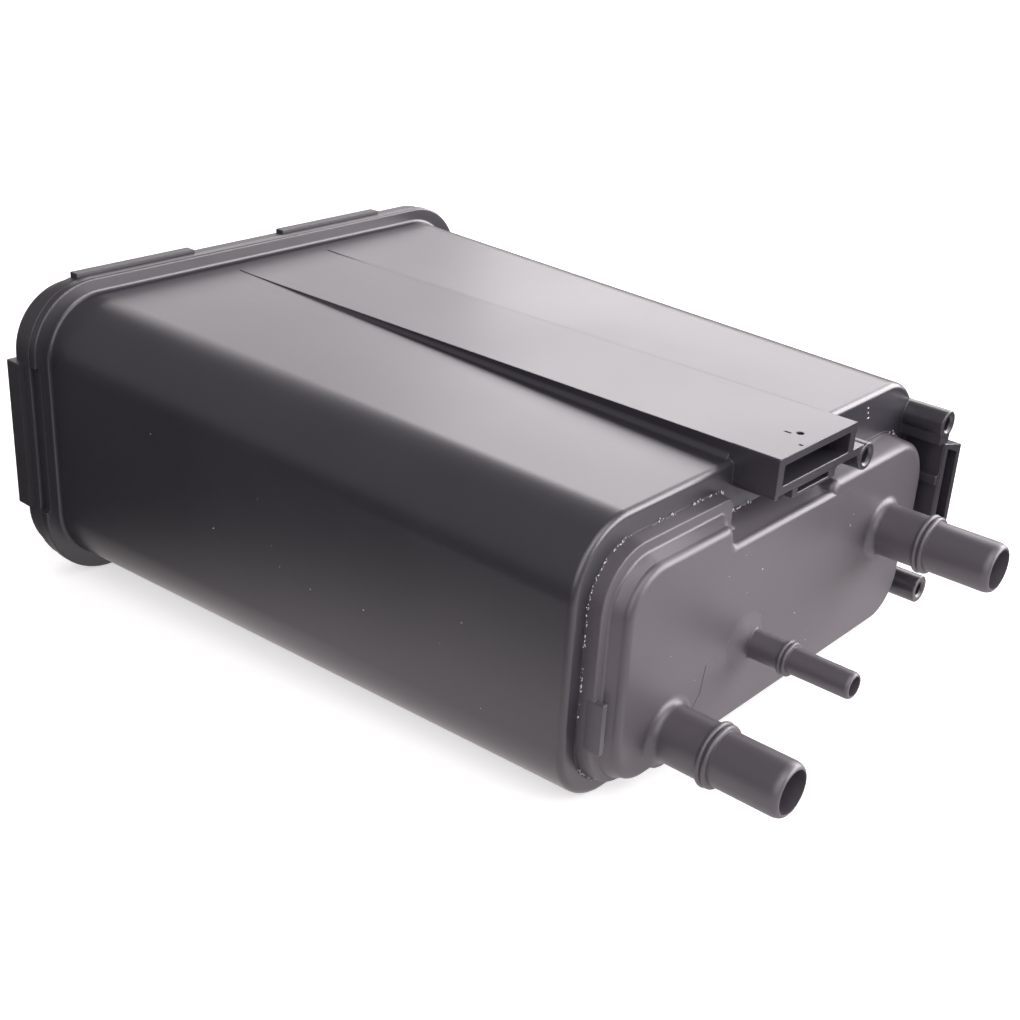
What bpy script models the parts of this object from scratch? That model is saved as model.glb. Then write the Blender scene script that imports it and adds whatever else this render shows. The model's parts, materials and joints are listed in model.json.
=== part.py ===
"""Fuel vapour charcoal canister: a welded plastic housing with two carbon beds inside.

X runs along the housing from the rear cover to the hose ports, Y across it and Z up.
The pieces are modelled with X = 0 on the front face of the housing's rear flange and
Z = 0 at mid height. They hang from one empty, which puts the finished part's origin
at the middle of its underside. All lengths are in metres.
"""

import math

import bmesh
import bpy
from mathutils import Matrix, Vector

# Fits and facets
GAP = 0.0003
OVERLAP = 0.0005
OVERRUN = 0.002
EDGE = 0.0004
CORNER_STEPS = 6
ROUND_STEPS = 24
SEAT_STEPS = 12
SHARP_ANGLE = math.radians(30)
MERGE = 0.00001

# Housing: a drafted rounded box, open at both ends, with a weld flange at the rear
HOUSING_LENGTH = 0.2114
HOUSING_HALF_WIDTH = 0.0917
HOUSING_HALF_HEIGHT = 0.0463
HOUSING_CORNER = 0.020
DRAFT = math.radians(1.35)
FRONT_HALF_WIDTH = HOUSING_HALF_WIDTH - HOUSING_LENGTH * math.tan(DRAFT)
FRONT_HALF_HEIGHT = HOUSING_HALF_HEIGHT - HOUSING_LENGTH * math.tan(DRAFT)
WALL = 0.0025
SHOULDER_RADIUS = 0.0025
ROOT_RADIUS = 0.0030
FLANGE_OVERHANG = 0.0057
FLANGE_OVERHANG_ABOVE = 0.0051
FLANGE_THICKNESS = 0.0035
FLANGE_CORNER = 0.024
FLANGE_EDGE = 0.0006
FLANGE_FLAT_DEPTH = 0.0016
END_WALL = 0.0060
RECESS_DEPTH = 0.0030

# Divider between the tank side bed and the air side bed, at a share of the half width
DIVIDER_SHARE = 0.327
DIVIDER_Y = DIVIDER_SHARE * HOUSING_HALF_WIDTH
DIVIDER_THICKNESS = 0.0025
DIVIDER_START = 0.008
CHAMBER_CORNER = 0.001

# Port end: an opening that is high on the near side and steps down beyond STEP_Y
PORT_END_SIDE_MARGIN = 0.0055
PORT_END_TOP_MARGIN = 0.0069
PORT_END_BOTTOM_MARGIN = 0.0039
PORT_END_HALF_WIDTH = FRONT_HALF_WIDTH - PORT_END_SIDE_MARGIN
PORT_END_TOP = FRONT_HALF_HEIGHT - PORT_END_TOP_MARGIN
PORT_END_BOTTOM = -(FRONT_HALF_HEIGHT - PORT_END_BOTTOM_MARGIN)
PORT_END_CORNER = 0.0165
STEP_Y = -0.0240
STEP_DROP = 0.0083
STEP_RADIUS = 0.003
OPENING_LIP = 0.0040

# Port cap: weld plate, ledge and raised panel
LEDGE_RISE = 0.0042
LEDGE_SLOPE = 0.0008
LEDGE_WIDTH = 0.0033
PANEL_RISE = 0.0050
PANEL_SLOPE = 0.0014
PANEL_EDGE = 0.0026
CAP_WALL = 0.0025
CAP_TAB_HEIGHT = 0.015
CAP_TAB_Z = -0.0135
CAP_TAB_RISE = 0.0032
CAP_TAB_THICKNESS = 0.0018
CAP_TAB_ROOT = 0.002

# Hose stubs: (y, z) of each axis, and their turned forms
TANK_PORT_FROM_SIDE = 0.0287
TANK_PORT_FROM_BOTTOM = 0.0123
AIR_PORT_FROM_SIDE = 0.0242
AIR_PORT_Z = -0.0006
TANK_PORT = (
    TANK_PORT_FROM_SIDE - PORT_END_HALF_WIDTH,
    TANK_PORT_FROM_BOTTOM + PORT_END_BOTTOM,
)
AIR_PORT = (PORT_END_HALF_WIDTH - AIR_PORT_FROM_SIDE, AIR_PORT_Z)
PURGE_PORT = (-0.0142, -0.0131)
LARGE_STUB_LENGTH = 0.0391
LARGE_STUB_RADIUS = 0.00791
LARGE_STEM_RADIUS = 0.00825
LARGE_BEAD_RADIUS = 0.0096
LARGE_BEAD_CENTRE = 0.0165
LARGE_BEAD_WIDTH = 0.0040
LARGE_BORE_RADIUS = 0.0063
LARGE_ROOT_RADIUS = 0.0020
SMALL_STUB_LENGTH = 0.0330
SMALL_STUB_RADIUS = 0.003945
SMALL_STEM_RADIUS = 0.0043
SMALL_BEAD_RADIUS = 0.00535
SMALL_BEAD_CENTRE = 0.0125
SMALL_BEAD_WIDTH = 0.0026
SMALL_BORE_RADIUS = 0.00295
SMALL_ROOT_RADIUS = 0.0010
NOSE_SHARE = 0.35
NOSE_INSET_SHARE = 0.55

# Rail along the top and the bracket socket at its front, measured down from the rail
MOUNT_REACH = 0.0137
MOUNT_PLANE = HOUSING_LENGTH + MOUNT_REACH
RAIL_DROP = 0.0003
RAIL_TOP = HOUSING_HALF_HEIGHT - RAIL_DROP
RAIL_HALF_WIDTH = 0.0203
RAIL_START = 0.008
RAIL_FULL_FOOT = 0.030
RAIL_FOOT = 0.0016
RAIL_LEAST_FOOT = 0.0002
SOCKET_ROOT = 0.002
SOCKET_HEIGHT = 0.0110
SOCKET_ROOF = 0.0024
SOCKET_OPENING = 0.0062
SOCKET_SIDE_WALL = 0.0030
SOCKET_BOTTOM = RAIL_TOP - SOCKET_HEIGHT
SOCKET_CEILING = RAIL_TOP - SOCKET_ROOF
SOCKET_FLOOR = SOCKET_CEILING - SOCKET_OPENING
SOCKET_HALF_WIDTH = RAIL_HALF_WIDTH - SOCKET_SIDE_WALL
SOCKET_DEPTH = 0.0115
SOCKET_DRAIN_RADIUS = 0.0011
SOCKET_DRAIN_SETBACK = 0.0064
SOCKET_DRAIN_X = MOUNT_PLANE - SOCKET_DRAIN_SETBACK
SOCKET_FOOT_WIDTH = 0.0020
SOCKET_FOOT_HEIGHT = 0.0012
SOCKET_FOOT_BOTTOM = SOCKET_BOTTOM - SOCKET_FOOT_HEIGHT
CRADLE_HEIGHT = 0.0032
CRADLE_BOTTOM = SOCKET_BOTTOM - CRADLE_HEIGHT
CRADLE_NEAR = -0.0108
CRADLE_SLOT_HALF_WIDTH = 0.0082
CRADLE_SLOT_LIFT = 0.0009
CRADLE_SLOT_HEIGHT = 0.0016
CRADLE_ARCH = (0.0118, 0.0246)
CRADLE_ARCH_HEIGHT = 0.0028
CRADLE_ARCH_CORNER = 0.0015

# Screw bosses on the mounting plane: margins, then y, z, radius, depth of the root
RAIL_BOSS_OUT = 0.0089
RAIL_BOSS_DOWN = 0.0132
UPPER_BOSS_IN = 0.0042
UPPER_BOSS_DOWN = 0.0130
LOWER_BOSS_IN = 0.0023
LOWER_BOSS_UP = 0.0104
RAIL_BOSS = (RAIL_HALF_WIDTH + RAIL_BOSS_OUT, RAIL_TOP - RAIL_BOSS_DOWN, 0.0042, 0.001)
UPPER_BOSS = (
    FRONT_HALF_WIDTH - UPPER_BOSS_IN,
    FRONT_HALF_HEIGHT - UPPER_BOSS_DOWN,
    0.0044,
    0.0002,
)
LOWER_BOSS = (
    FRONT_HALF_WIDTH - LOWER_BOSS_IN,
    LOWER_BOSS_UP - FRONT_HALF_HEIGHT,
    0.0046,
    0.003,
)
BOSS_HOLE_RADIUS = 0.0022
BOSS_HOLE_DEPTH = 0.010
BOSS_STEPS = 20

# Far side bracket: a web, a channel open to the front, and a stiffening rib
WEB_MARGIN = 0.0015
WEB_THICKNESS = 0.0022
WEB_BOTTOM = -0.0085
WEB_BELOW_BOSS = 0.0033
WEB_OUTER_Y = FRONT_HALF_WIDTH - WEB_MARGIN
WEB_Y = (WEB_OUTER_Y - WEB_THICKNESS, WEB_OUTER_Y)
WEB_Z = (WEB_BOTTOM, UPPER_BOSS[1] - WEB_BELOW_BOSS)
WEB_ROOT = 0.003
CHANNEL_REACH = 0.0088
CHANNEL_OUTER_Y = FRONT_HALF_WIDTH + CHANNEL_REACH
CHANNEL_TOP_INNER = 0.0213
CHANNEL_TOP_OUTER = 0.0182
CHANNEL_BOTTOM = -0.0098
CHANNEL_WALL = 0.0022
CHANNEL_DEPTH = 0.0135
CHANNEL_LENGTH = 0.0190
CHANNEL_TAPER = 0.016
RIB_Z = (0.0074, 0.0104)
RIB_PROUD = 0.0012
RIB_Y = WEB_Y[0] - RIB_PROUD

# Rear cover: a shallow pan with a weld flange, locating tabs and spring seats
COVER_FLANGE_THICKNESS = 0.0042
COVER_DEPTH = 0.0108
COVER_INSET = 0.0004
PAN_SIDE_STEP = 0.0014
PAN_TOP_STEP = 0.0028
PAN_EDGE = 0.0030
PAN_WALL = 0.0030
SIDE_TAB_HALF_LENGTH = 0.025
SIDE_TAB_RISE = 0.0013
TOP_TAB_SHARES = ((-0.790, -0.308), (0.0986, 0.588))
TOP_TAB_RISE = 0.0010
TAB_DEPTH = 0.0040
COVER_PANEL_DEPTH = 0.0010
COVER_PANEL_RIB = 0.0045
COVER_PANEL_CORNER = 0.008
COVER_PANELS = (4, 2)

# Inner pieces, from the port end back to the springs
GRID_THICKNESS = 0.0032
PAD_THICKNESS = 0.0060
PLATE_THICKNESS = 0.0030
PLATE_X = 0.018
SLOT_PITCH = 0.0105
SLOT_HEIGHT = 0.0045
SLOT_MARGIN = 0.007
SLOT_BRIDGE = 0.006
SPRING_RADIUS = 0.0091
SPRING_WIRE_RADIUS = 0.0009
SPRING_TURNS = 4.0
SPRING_END_TURNS = 0.8
SPRING_POINTS_PER_TURN = 10
SPRING_Z = 0.020
SPRING_SPREAD = 0.030
SEAT_HEIGHT = 0.0030
SEAT_CLEARANCE = 0.0006
SEAT_RADIUS = SPRING_RADIUS - SPRING_WIRE_RADIUS - SEAT_CLEARANCE

# Planes along X that the pieces share
FLANGE_BACK = -FLANGE_THICKNESS
END_INNER = HOUSING_LENGTH - END_WALL
RECESS_FLOOR = HOUSING_LENGTH - RECESS_DEPTH
CAP_BACK = RECESS_FLOOR + GAP
CAP_FRONT = HOUSING_LENGTH - GAP
LEDGE_X = HOUSING_LENGTH + LEDGE_RISE
PANEL_X = LEDGE_X + PANEL_RISE
COVER_FRONT = FLANGE_BACK - GAP
COVER_STEP = COVER_FRONT - COVER_FLANGE_THICKNESS
COVER_BACK = COVER_FRONT - COVER_DEPTH
COVER_INNER = COVER_BACK + PAN_WALL
GRID_FRONT = END_INNER - GAP
GRID_BACK = GRID_FRONT - GRID_THICKNESS
FRONT_PAD_BACK = GRID_BACK - GAP - PAD_THICKNESS
REAR_PAD_BACK = PLATE_X + PLATE_THICKNESS + GAP
BED_BACK = REAR_PAD_BACK + PAD_THICKNESS + GAP
BED_FRONT = FRONT_PAD_BACK - GAP

FLANGE_HALF_WIDTH = HOUSING_HALF_WIDTH + FLANGE_OVERHANG
FLANGE_HALF_HEIGHT = HOUSING_HALF_HEIGHT + FLANGE_OVERHANG_ABOVE
STUB_MOUTH_X = PANEL_X + LARGE_STUB_LENGTH
UNDERSIDE_Z = -(FLANGE_HALF_HEIGHT + TOP_TAB_RISE)


def clear_scene():
    for old in list(bpy.data.objects):
        bpy.data.objects.remove(old)


def new_collection(name):
    collection = bpy.data.collections.new(name)
    bpy.context.scene.collection.children.link(collection)
    return collection


def new_material(name, colour, roughness, metallic=0.0):
    material = bpy.data.materials.new(name)
    material.use_nodes = True
    shader = material.node_tree.nodes["Principled BSDF"]
    shader.inputs["Base Color"].default_value = (*colour, 1.0)
    shader.inputs["Roughness"].default_value = roughness
    shader.inputs["Metallic"].default_value = metallic
    return material


clear_scene()
PARTS = new_collection("charcoal_canister")
CUTTERS = new_collection("cutters_and_joins")
FRAME = bpy.data.objects.new("canister_frame", None)
PARTS.objects.link(FRAME)
FRAME.location = (-(COVER_BACK + STUB_MOUTH_X) / 2, 0.0, -UNDERSIDE_Z)

HOUSING_PLASTIC = new_material("housing_plastic", (0.030, 0.028, 0.029), 0.38)
CAP_PLASTIC = new_material("cap_plastic", (0.034, 0.031, 0.033), 0.42)
COVER_PLASTIC = new_material("cover_plastic", (0.026, 0.024, 0.026), 0.40)
INNER_PLASTIC = new_material("inner_plastic", (0.12, 0.12, 0.12), 0.55)
FILTER_FOAM = new_material("filter_foam", (0.45, 0.44, 0.40), 0.95)
CARBON = new_material("activated_carbon", (0.012, 0.012, 0.013), 0.85)
SPRING_STEEL = new_material("spring_steel", (0.45, 0.45, 0.46), 0.30, 1.0)


def link_part(obj, material):
    PARTS.objects.link(obj)
    obj.parent = FRAME
    obj.data.materials.append(material)
    return obj


def link_helper(obj):
    CUTTERS.objects.link(obj)
    obj.parent = FRAME
    obj.hide_render = True
    obj.display_type = "WIRE"
    return obj


def combine(target, other, operation):
    modifier = target.modifiers.new(f"{operation.lower()} {other.name}", "BOOLEAN")
    modifier.operation = operation
    modifier.object = other


def rounded_outline(corners, steps=CORNER_STEPS):
    """Outline of a polygon of (y, z, radius) corners, each rounded with an arc."""
    points = []
    for index, (y, z, radius) in enumerate(corners):
        corner = Vector((y, z))
        before = (Vector(corners[index - 1][:2]) - corner).normalized()
        after = (Vector(corners[(index + 1) % len(corners)][:2]) - corner).normalized()
        half_angle = before.angle(after) / 2
        bisector = (before + after).normalized()
        centre = corner + bisector * radius / math.sin(half_angle)
        start = corner + before * radius / math.tan(half_angle) - centre
        end = corner + after * radius / math.tan(half_angle) - centre
        turn = math.atan2(start.x * end.y - start.y * end.x, start.dot(end))
        for step in range(steps + 1):
            points.append(centre + Matrix.Rotation(turn * step / steps, 2) @ start)
    return points


def box_corners(low_y, high_y, low_z, high_z, radius):
    return [
        (low_y, low_z, radius),
        (high_y, low_z, radius),
        (high_y, high_z, radius),
        (low_y, high_z, radius),
    ]


def loft_mesh(name, sections):
    """Closed mesh through (x, outline) sections that all have as many points."""
    bm = bmesh.new()
    rings = [[bm.verts.new((x, y, z)) for y, z in outline] for x, outline in sections]
    for ring, following in zip(rings, rings[1:]):
        for index in range(len(ring)):
            bm.faces.new(
                (ring[index - 1], ring[index], following[index], following[index - 1])
            )
    bm.faces.new(rings[0])
    bm.faces.new(rings[-1])
    bmesh.ops.recalc_face_normals(bm, faces=bm.faces)
    mesh = bpy.data.meshes.new(name)
    bm.to_mesh(mesh)
    bm.free()
    return mesh


def loft_part(name, sections, material):
    obj = bpy.data.objects.new(name, loft_mesh(name, sections))
    link_part(obj, material)
    obj.data.shade_smooth()
    obj.data.set_sharp_from_angle(angle=SHARP_ANGLE)
    return obj


def loft_helper(name, sections):
    return link_helper(bpy.data.objects.new(name, loft_mesh(name, sections)))


def block(name, x, y, z, radius=EDGE, steps=1):
    """Helper block between two limits on each axis, its long edges rounded."""
    outline = rounded_outline(box_corners(*y, *z, radius), steps)
    return loft_helper(name, [(x[0], outline), (x[1], outline)])


def turned_helper(name, profile, place, steps=ROUND_STEPS):
    """Helper turned about X, from (x, radius) points that end on the axis."""
    mesh = bpy.data.meshes.new(name)
    points = [(radius, 0.0, x) for x, radius in reversed(profile)]
    edges = [(index, index + 1) for index in range(len(points) - 1)]
    mesh.from_pydata(points, edges, [])
    obj = link_helper(bpy.data.objects.new(name, mesh))
    obj.location = (0.0, *place)
    obj.rotation_euler = (0.0, math.pi / 2, 0.0)
    screw = obj.modifiers.new("turn", "SCREW")
    screw.steps = steps
    screw.render_steps = steps
    screw.use_merge_vertices = True
    screw.merge_threshold = MERGE
    return obj


def cylinder_helper(name, x, radius, place, steps=ROUND_STEPS):
    profile = [(x[0], 0.0), (x[0], radius), (x[1], radius), (x[1], 0.0)]
    return turned_helper(name, profile, place, steps)


def arc(radius, steps):
    """(along, inset) pairs round a convex edge, from its side to its end face."""
    angles = [math.pi / 2 * step / steps for step in range(steps + 1)]
    return [(radius * math.sin(a), radius * (1 - math.cos(a))) for a in angles]


def half_width(x):
    return HOUSING_HALF_WIDTH - x * math.tan(DRAFT)


def half_height(x):
    return HOUSING_HALF_HEIGHT - x * math.tan(DRAFT)


def housing_outline(x, grow=0.0):
    wide = half_width(x) + grow
    high = half_height(x) + grow
    return rounded_outline(box_corners(-wide, wide, -high, high, HOUSING_CORNER + grow))


def flange_outline(inset=0.0):
    wide = FLANGE_HALF_WIDTH - inset
    high = FLANGE_HALF_HEIGHT - inset
    return rounded_outline(box_corners(-wide, wide, -high, high, FLANGE_CORNER - inset))


def port_outline(inset=0.0, bottom=0.0):
    """The stepped outline of the port end, drawn in all round and by its own bottom inset."""
    wide = PORT_END_HALF_WIDTH - inset
    high = PORT_END_TOP - inset
    low = high - STEP_DROP
    base = PORT_END_BOTTOM + bottom
    radius = PORT_END_CORNER - inset / 2
    step = STEP_Y - inset
    return rounded_outline(
        [
            (-wide, base, radius),
            (wide, base, radius),
            (wide, low, radius),
            (step, low, STEP_RADIUS),
            (step, high, STEP_RADIUS),
            (-wide, high, radius),
        ]
    )


def chamber_outline(x, far_side, clearance):
    """Section of one bed chamber at x, inside the walls by the clearance."""
    wide = half_width(x) - WALL - clearance
    high = half_height(x) - WALL - clearance
    outer_radius = HOUSING_CORNER - WALL - clearance
    inner = DIVIDER_THICKNESS / 2 + clearance
    if far_side:
        low_y, high_y = DIVIDER_Y + inner, wide
        near_radius, far_radius = CHAMBER_CORNER, outer_radius
    else:
        low_y, high_y = -wide, DIVIDER_Y - inner
        near_radius, far_radius = outer_radius, CHAMBER_CORNER
    return rounded_outline(
        [
            (low_y, -high, near_radius),
            (high_y, -high, far_radius),
            (high_y, high, far_radius),
            (low_y, high, near_radius),
        ],
        steps=4,
    )


def housing_sections():
    """Flange, root fillet, drafted walls and front shoulder, from rear to front."""
    sections = [
        (FLANGE_BACK, flange_outline(FLANGE_EDGE)),
        (FLANGE_BACK + FLANGE_EDGE, flange_outline()),
        (-FLANGE_EDGE, flange_outline()),
        (0.0, flange_outline(FLANGE_EDGE)),
    ]
    for along, inset in reversed(arc(ROOT_RADIUS, 4)):
        x = ROOT_RADIUS - along
        sections.append((x, housing_outline(x, inset)))
    for along, inset in arc(SHOULDER_RADIUS, 4):
        x = HOUSING_LENGTH - SHOULDER_RADIUS + along
        sections.append((x, housing_outline(x, -inset)))
    return sections


def cavity_sections():
    return [(x, housing_outline(x, -WALL)) for x in (FLANGE_BACK - OVERRUN, END_INNER)]


def rail_outline(x):
    """Rail section with a flared foot on the housing's top, and its root in the wall."""
    base = half_height(x)
    foot = max(RAIL_LEAST_FOOT, min(RAIL_FOOT, RAIL_TOP - base))
    flare = arc(foot, 4)
    right = [(RAIL_HALF_WIDTH + inset, base + foot - along) for along, inset in flare]
    right.append((RAIL_HALF_WIDTH + foot, base - WALL / 2))
    left = [(-y, z) for y, z in reversed(right)]
    return [(RAIL_HALF_WIDTH, RAIL_TOP), *right, *left, (-RAIL_HALF_WIDTH, RAIL_TOP)]


def add_rail(housing):
    stations = (RAIL_START, RAIL_FULL_FOOT, HOUSING_LENGTH - SHOULDER_RADIUS)
    rail = loft_helper("rail", [(x, rail_outline(x)) for x in stations])
    combine(housing, rail, "UNION")


def add_socket(housing):
    """Bracket socket: a box ahead of the rail, on a cradle that also holds a boss."""
    root = HOUSING_LENGTH - SHOULDER_RADIUS - SOCKET_ROOT
    pieces = [
        block(
            "socket_box",
            (root, MOUNT_PLANE),
            (-RAIL_HALF_WIDTH, RAIL_HALF_WIDTH),
            (SOCKET_BOTTOM, RAIL_TOP),
        ),
        block(
            "socket_cradle",
            (root + GAP, MOUNT_PLANE - GAP),
            (CRADLE_NEAR, RAIL_BOSS[0] - RAIL_BOSS[2] / 2),
            (CRADLE_BOTTOM, SOCKET_FLOOR - GAP),
        ),
        block(
            "socket_foot",
            (root + GAP, MOUNT_PLANE - GAP),
            (GAP - RAIL_HALF_WIDTH, SOCKET_FOOT_WIDTH - RAIL_HALF_WIDTH),
            (SOCKET_FOOT_BOTTOM, SOCKET_FLOOR - GAP),
        ),
    ]
    for piece in pieces:
        combine(housing, piece, "UNION")


def cut_socket(housing):
    """Pocket of the socket, with the slot and the arch under its floor."""
    front = (MOUNT_PLANE - SOCKET_DEPTH, MOUNT_PLANE + OVERRUN)
    slot_floor = CRADLE_BOTTOM + CRADLE_SLOT_LIFT
    cutters = [
        block(
            "socket_pocket",
            front,
            (-SOCKET_HALF_WIDTH, SOCKET_HALF_WIDTH),
            (SOCKET_FLOOR, SOCKET_CEILING),
        ),
        block(
            "cradle_slot",
            front,
            (-CRADLE_SLOT_HALF_WIDTH, CRADLE_SLOT_HALF_WIDTH),
            (slot_floor, slot_floor + CRADLE_SLOT_HEIGHT),
        ),
        block(
            "cradle_arch",
            front,
            CRADLE_ARCH,
            (CRADLE_BOTTOM - OVERRUN, CRADLE_BOTTOM + CRADLE_ARCH_HEIGHT),
            radius=CRADLE_ARCH_CORNER,
            steps=3,
        ),
    ]
    for cutter in cutters:
        combine(housing, cutter, "DIFFERENCE")
    through = (-OVERRUN / 2, RAIL_TOP - SOCKET_CEILING + OVERRUN)
    drain = cylinder_helper("socket_drain", through, SOCKET_DRAIN_RADIUS, (0.0, 0.0), 12)
    drain.location = (SOCKET_DRAIN_X, 0.0, SOCKET_CEILING)
    drain.rotation_euler = (0.0, 0.0, 0.0)
    combine(housing, drain, "DIFFERENCE")


def add_boss(housing, name, boss):
    y, z, radius, depth = boss
    reach = (HOUSING_LENGTH - SHOULDER_RADIUS - depth, MOUNT_PLANE)
    post = cylinder_helper(f"{name}_post", reach, radius, (y, z), BOSS_STEPS)
    combine(housing, post, "UNION")


def drill(target, name, holes):
    """Cuts round holes along X, given as (x limits, radius, place), in one cutter."""
    bm = bmesh.new()
    for (low, high), radius, (y, z) in holes:
        place = Matrix.Translation(((low + high) / 2, y, z))
        bmesh.ops.create_cone(
            bm,
            cap_ends=True,
            segments=ROUND_STEPS,
            radius1=radius,
            radius2=radius,
            depth=high - low,
            matrix=place @ Matrix.Rotation(math.pi / 2, 4, "Y"),
        )
    mesh = bpy.data.meshes.new(name)
    bm.to_mesh(mesh)
    bm.free()
    combine(target, link_helper(bpy.data.objects.new(name, mesh)), "DIFFERENCE")


def channel_outline(inner_y, outer_y, inset=0.0):
    return rounded_outline(
        [
            (inner_y + inset, CHANNEL_BOTTOM + inset, EDGE),
            (outer_y - inset, CHANNEL_BOTTOM + inset, EDGE),
            (outer_y - inset, CHANNEL_TOP_OUTER - inset, EDGE),
            (inner_y + inset, CHANNEL_TOP_INNER - inset, EDGE),
        ],
        steps=1,
    )


def add_bracket(housing):
    """Web from the upper boss down the far corner, with a channel outside it."""
    back = MOUNT_PLANE - CHANNEL_LENGTH
    outline = channel_outline(WEB_Y[0] + 2 * GAP, CHANNEL_OUTER_Y)
    channel = loft_helper("channel", [(back, outline), (MOUNT_PLANE, outline)])
    combine(housing, channel, "UNION")
    skin = half_width(back) - WALL / 2
    start = back - CHANNEL_TAPER
    sections = [
        (start, channel_outline(skin, half_width(start), GAP)),
        (back + 2 * GAP, channel_outline(skin, CHANNEL_OUTER_Y, GAP)),
    ]
    combine(housing, loft_helper("channel_gusset", sections), "UNION")
    root = HOUSING_LENGTH - SHOULDER_RADIUS - WEB_ROOT
    web = block("bracket_web", (root, MOUNT_PLANE - GAP), WEB_Y, WEB_Z)
    combine(housing, web, "UNION")
    rib = block("web_rib", (root, MOUNT_PLANE - 2 * GAP), (RIB_Y, WEB_Y[1]), RIB_Z)
    combine(housing, rib, "UNION")


def cut_channel(housing):
    outline = channel_outline(WEB_Y[0] + 2 * GAP, CHANNEL_OUTER_Y, CHANNEL_WALL)
    span = (MOUNT_PLANE - CHANNEL_DEPTH, MOUNT_PLANE + OVERRUN)
    pocket = loft_helper("channel_pocket", [(x, outline) for x in span])
    combine(housing, pocket, "DIFFERENCE")


def add_divider(housing):
    sections = []
    half = DIVIDER_THICKNESS / 2
    for x in (DIVIDER_START, END_INNER + END_WALL / 2):
        high = half_height(x) - WALL / 2
        corners = box_corners(DIVIDER_Y - half, DIVIDER_Y + half, -high, high, EDGE)
        sections.append((x, rounded_outline(corners, 1)))
    combine(housing, loft_helper("divider", sections), "UNION")


def cut_port_end(housing):
    """Recess that the cap sits in, and the opening behind it."""
    recess = [(x, port_outline()) for x in (RECESS_FLOOR, HOUSING_LENGTH + OVERLAP)]
    combine(housing, loft_helper("cap_recess", recess), "DIFFERENCE")
    outline = port_outline(OPENING_LIP, bottom=OPENING_LIP)
    opening = [(x, outline) for x in (END_INNER - OVERLAP, RECESS_FLOOR + OVERLAP)]
    combine(housing, loft_helper("port_opening", opening), "DIFFERENCE")


def cut_flange_flats(housing):
    reach = (FLANGE_BACK - OVERRUN, ROOT_RADIUS)
    span = (-SIDE_TAB_HALF_LENGTH, SIDE_TAB_HALF_LENGTH)
    inner = FLANGE_HALF_WIDTH - FLANGE_FLAT_DEPTH
    outer = FLANGE_HALF_WIDTH + OVERRUN
    for side, name in ((-1, "near_flat"), (1, "far_flat")):
        limits = sorted((side * inner, side * outer))
        combine(housing, block(name, reach, limits, span), "DIFFERENCE")


def build_housing():
    """Shell, then everything that is joined to it, then everything cut from it."""
    housing = loft_part("canister_housing", housing_sections(), HOUSING_PLASTIC)
    combine(housing, loft_helper("cavity", cavity_sections()), "DIFFERENCE")
    add_divider(housing)
    add_rail(housing)
    add_socket(housing)
    add_bracket(housing)
    add_boss(housing, "rail_boss", RAIL_BOSS)
    add_boss(housing, "upper_boss", UPPER_BOSS)
    add_boss(housing, "lower_boss", LOWER_BOSS)
    cut_socket(housing)
    cut_channel(housing)
    cut_port_end(housing)
    cut_flange_flats(housing)
    depth = (MOUNT_PLANE - BOSS_HOLE_DEPTH, MOUNT_PLANE + OVERRUN)
    posts = (RAIL_BOSS, UPPER_BOSS, LOWER_BOSS)
    drill(housing, "boss_holes", [(depth, BOSS_HOLE_RADIUS, post[:2]) for post in posts])


def stub_profile(length, stem, bead, radius, bead_centre, bead_width, root):
    """Outer line of a hose stub from inside the panel to its rounded nose."""
    start = PANEL_X - CAP_WALL / 2
    points = [(start, 0.0), (start, stem + root), (PANEL_X, stem + root)]
    for along, inset in arc(root, 3)[1:]:
        points.append((PANEL_X + inset, stem + root - along))
    back = PANEL_X + bead_centre - bead_width / 2
    front = back + bead_width
    slope = bead_width / 8
    points += [
        (back, stem),
        (back + slope, bead),
        (back + 3 * slope, bead),
        (back + 4 * slope, (bead + radius) / 2 + slope / 2),
        (back + 5 * slope, bead - slope / 2),
        (back + 7 * slope, bead - slope / 2),
        (front, radius),
    ]
    nose = radius * NOSE_SHARE
    for along, inset in arc(nose, 3):
        x = PANEL_X + length - nose + along
        points.append((x, radius - inset * NOSE_INSET_SHARE))
    points.append((PANEL_X + length, 0.0))
    return points


def cap_sections():
    """Weld plate, ledge and raised panel, from rear to front."""
    plate = port_outline(GAP, bottom=GAP)
    sections = [
        (CAP_BACK, plate),
        (CAP_FRONT, plate),
        (LEDGE_X - EDGE, port_outline(LEDGE_SLOPE, bottom=LEDGE_SLOPE)),
        (LEDGE_X, port_outline(LEDGE_SLOPE + EDGE, bottom=LEDGE_SLOPE + EDGE)),
    ]
    inset = LEDGE_SLOPE + EDGE + LEDGE_WIDTH
    base = LEDGE_SLOPE + 2 * EDGE
    sections.append((LEDGE_X, port_outline(inset, bottom=base)))
    inset += PANEL_SLOPE
    for along, drawn_in in arc(PANEL_EDGE, 3):
        x = PANEL_X - PANEL_EDGE + along
        outline = port_outline(inset + drawn_in, bottom=base + EDGE + drawn_in)
        sections.append((x, outline))
    return sections


def cap_hollow_sections():
    """Space behind the panel, one wall inside the cap's outer form."""
    wide = GAP + LEDGE_SLOPE + CAP_WALL
    inner = wide + LEDGE_WIDTH + PANEL_SLOPE / 2
    return [
        (CAP_BACK - OVERRUN, port_outline(wide, bottom=wide)),
        (LEDGE_X - CAP_WALL, port_outline(wide, bottom=wide)),
        (LEDGE_X - CAP_WALL + EDGE, port_outline(inner, bottom=wide)),
        (PANEL_X - CAP_WALL, port_outline(inner + PANEL_SLOPE, bottom=wide + GAP)),
    ]


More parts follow.
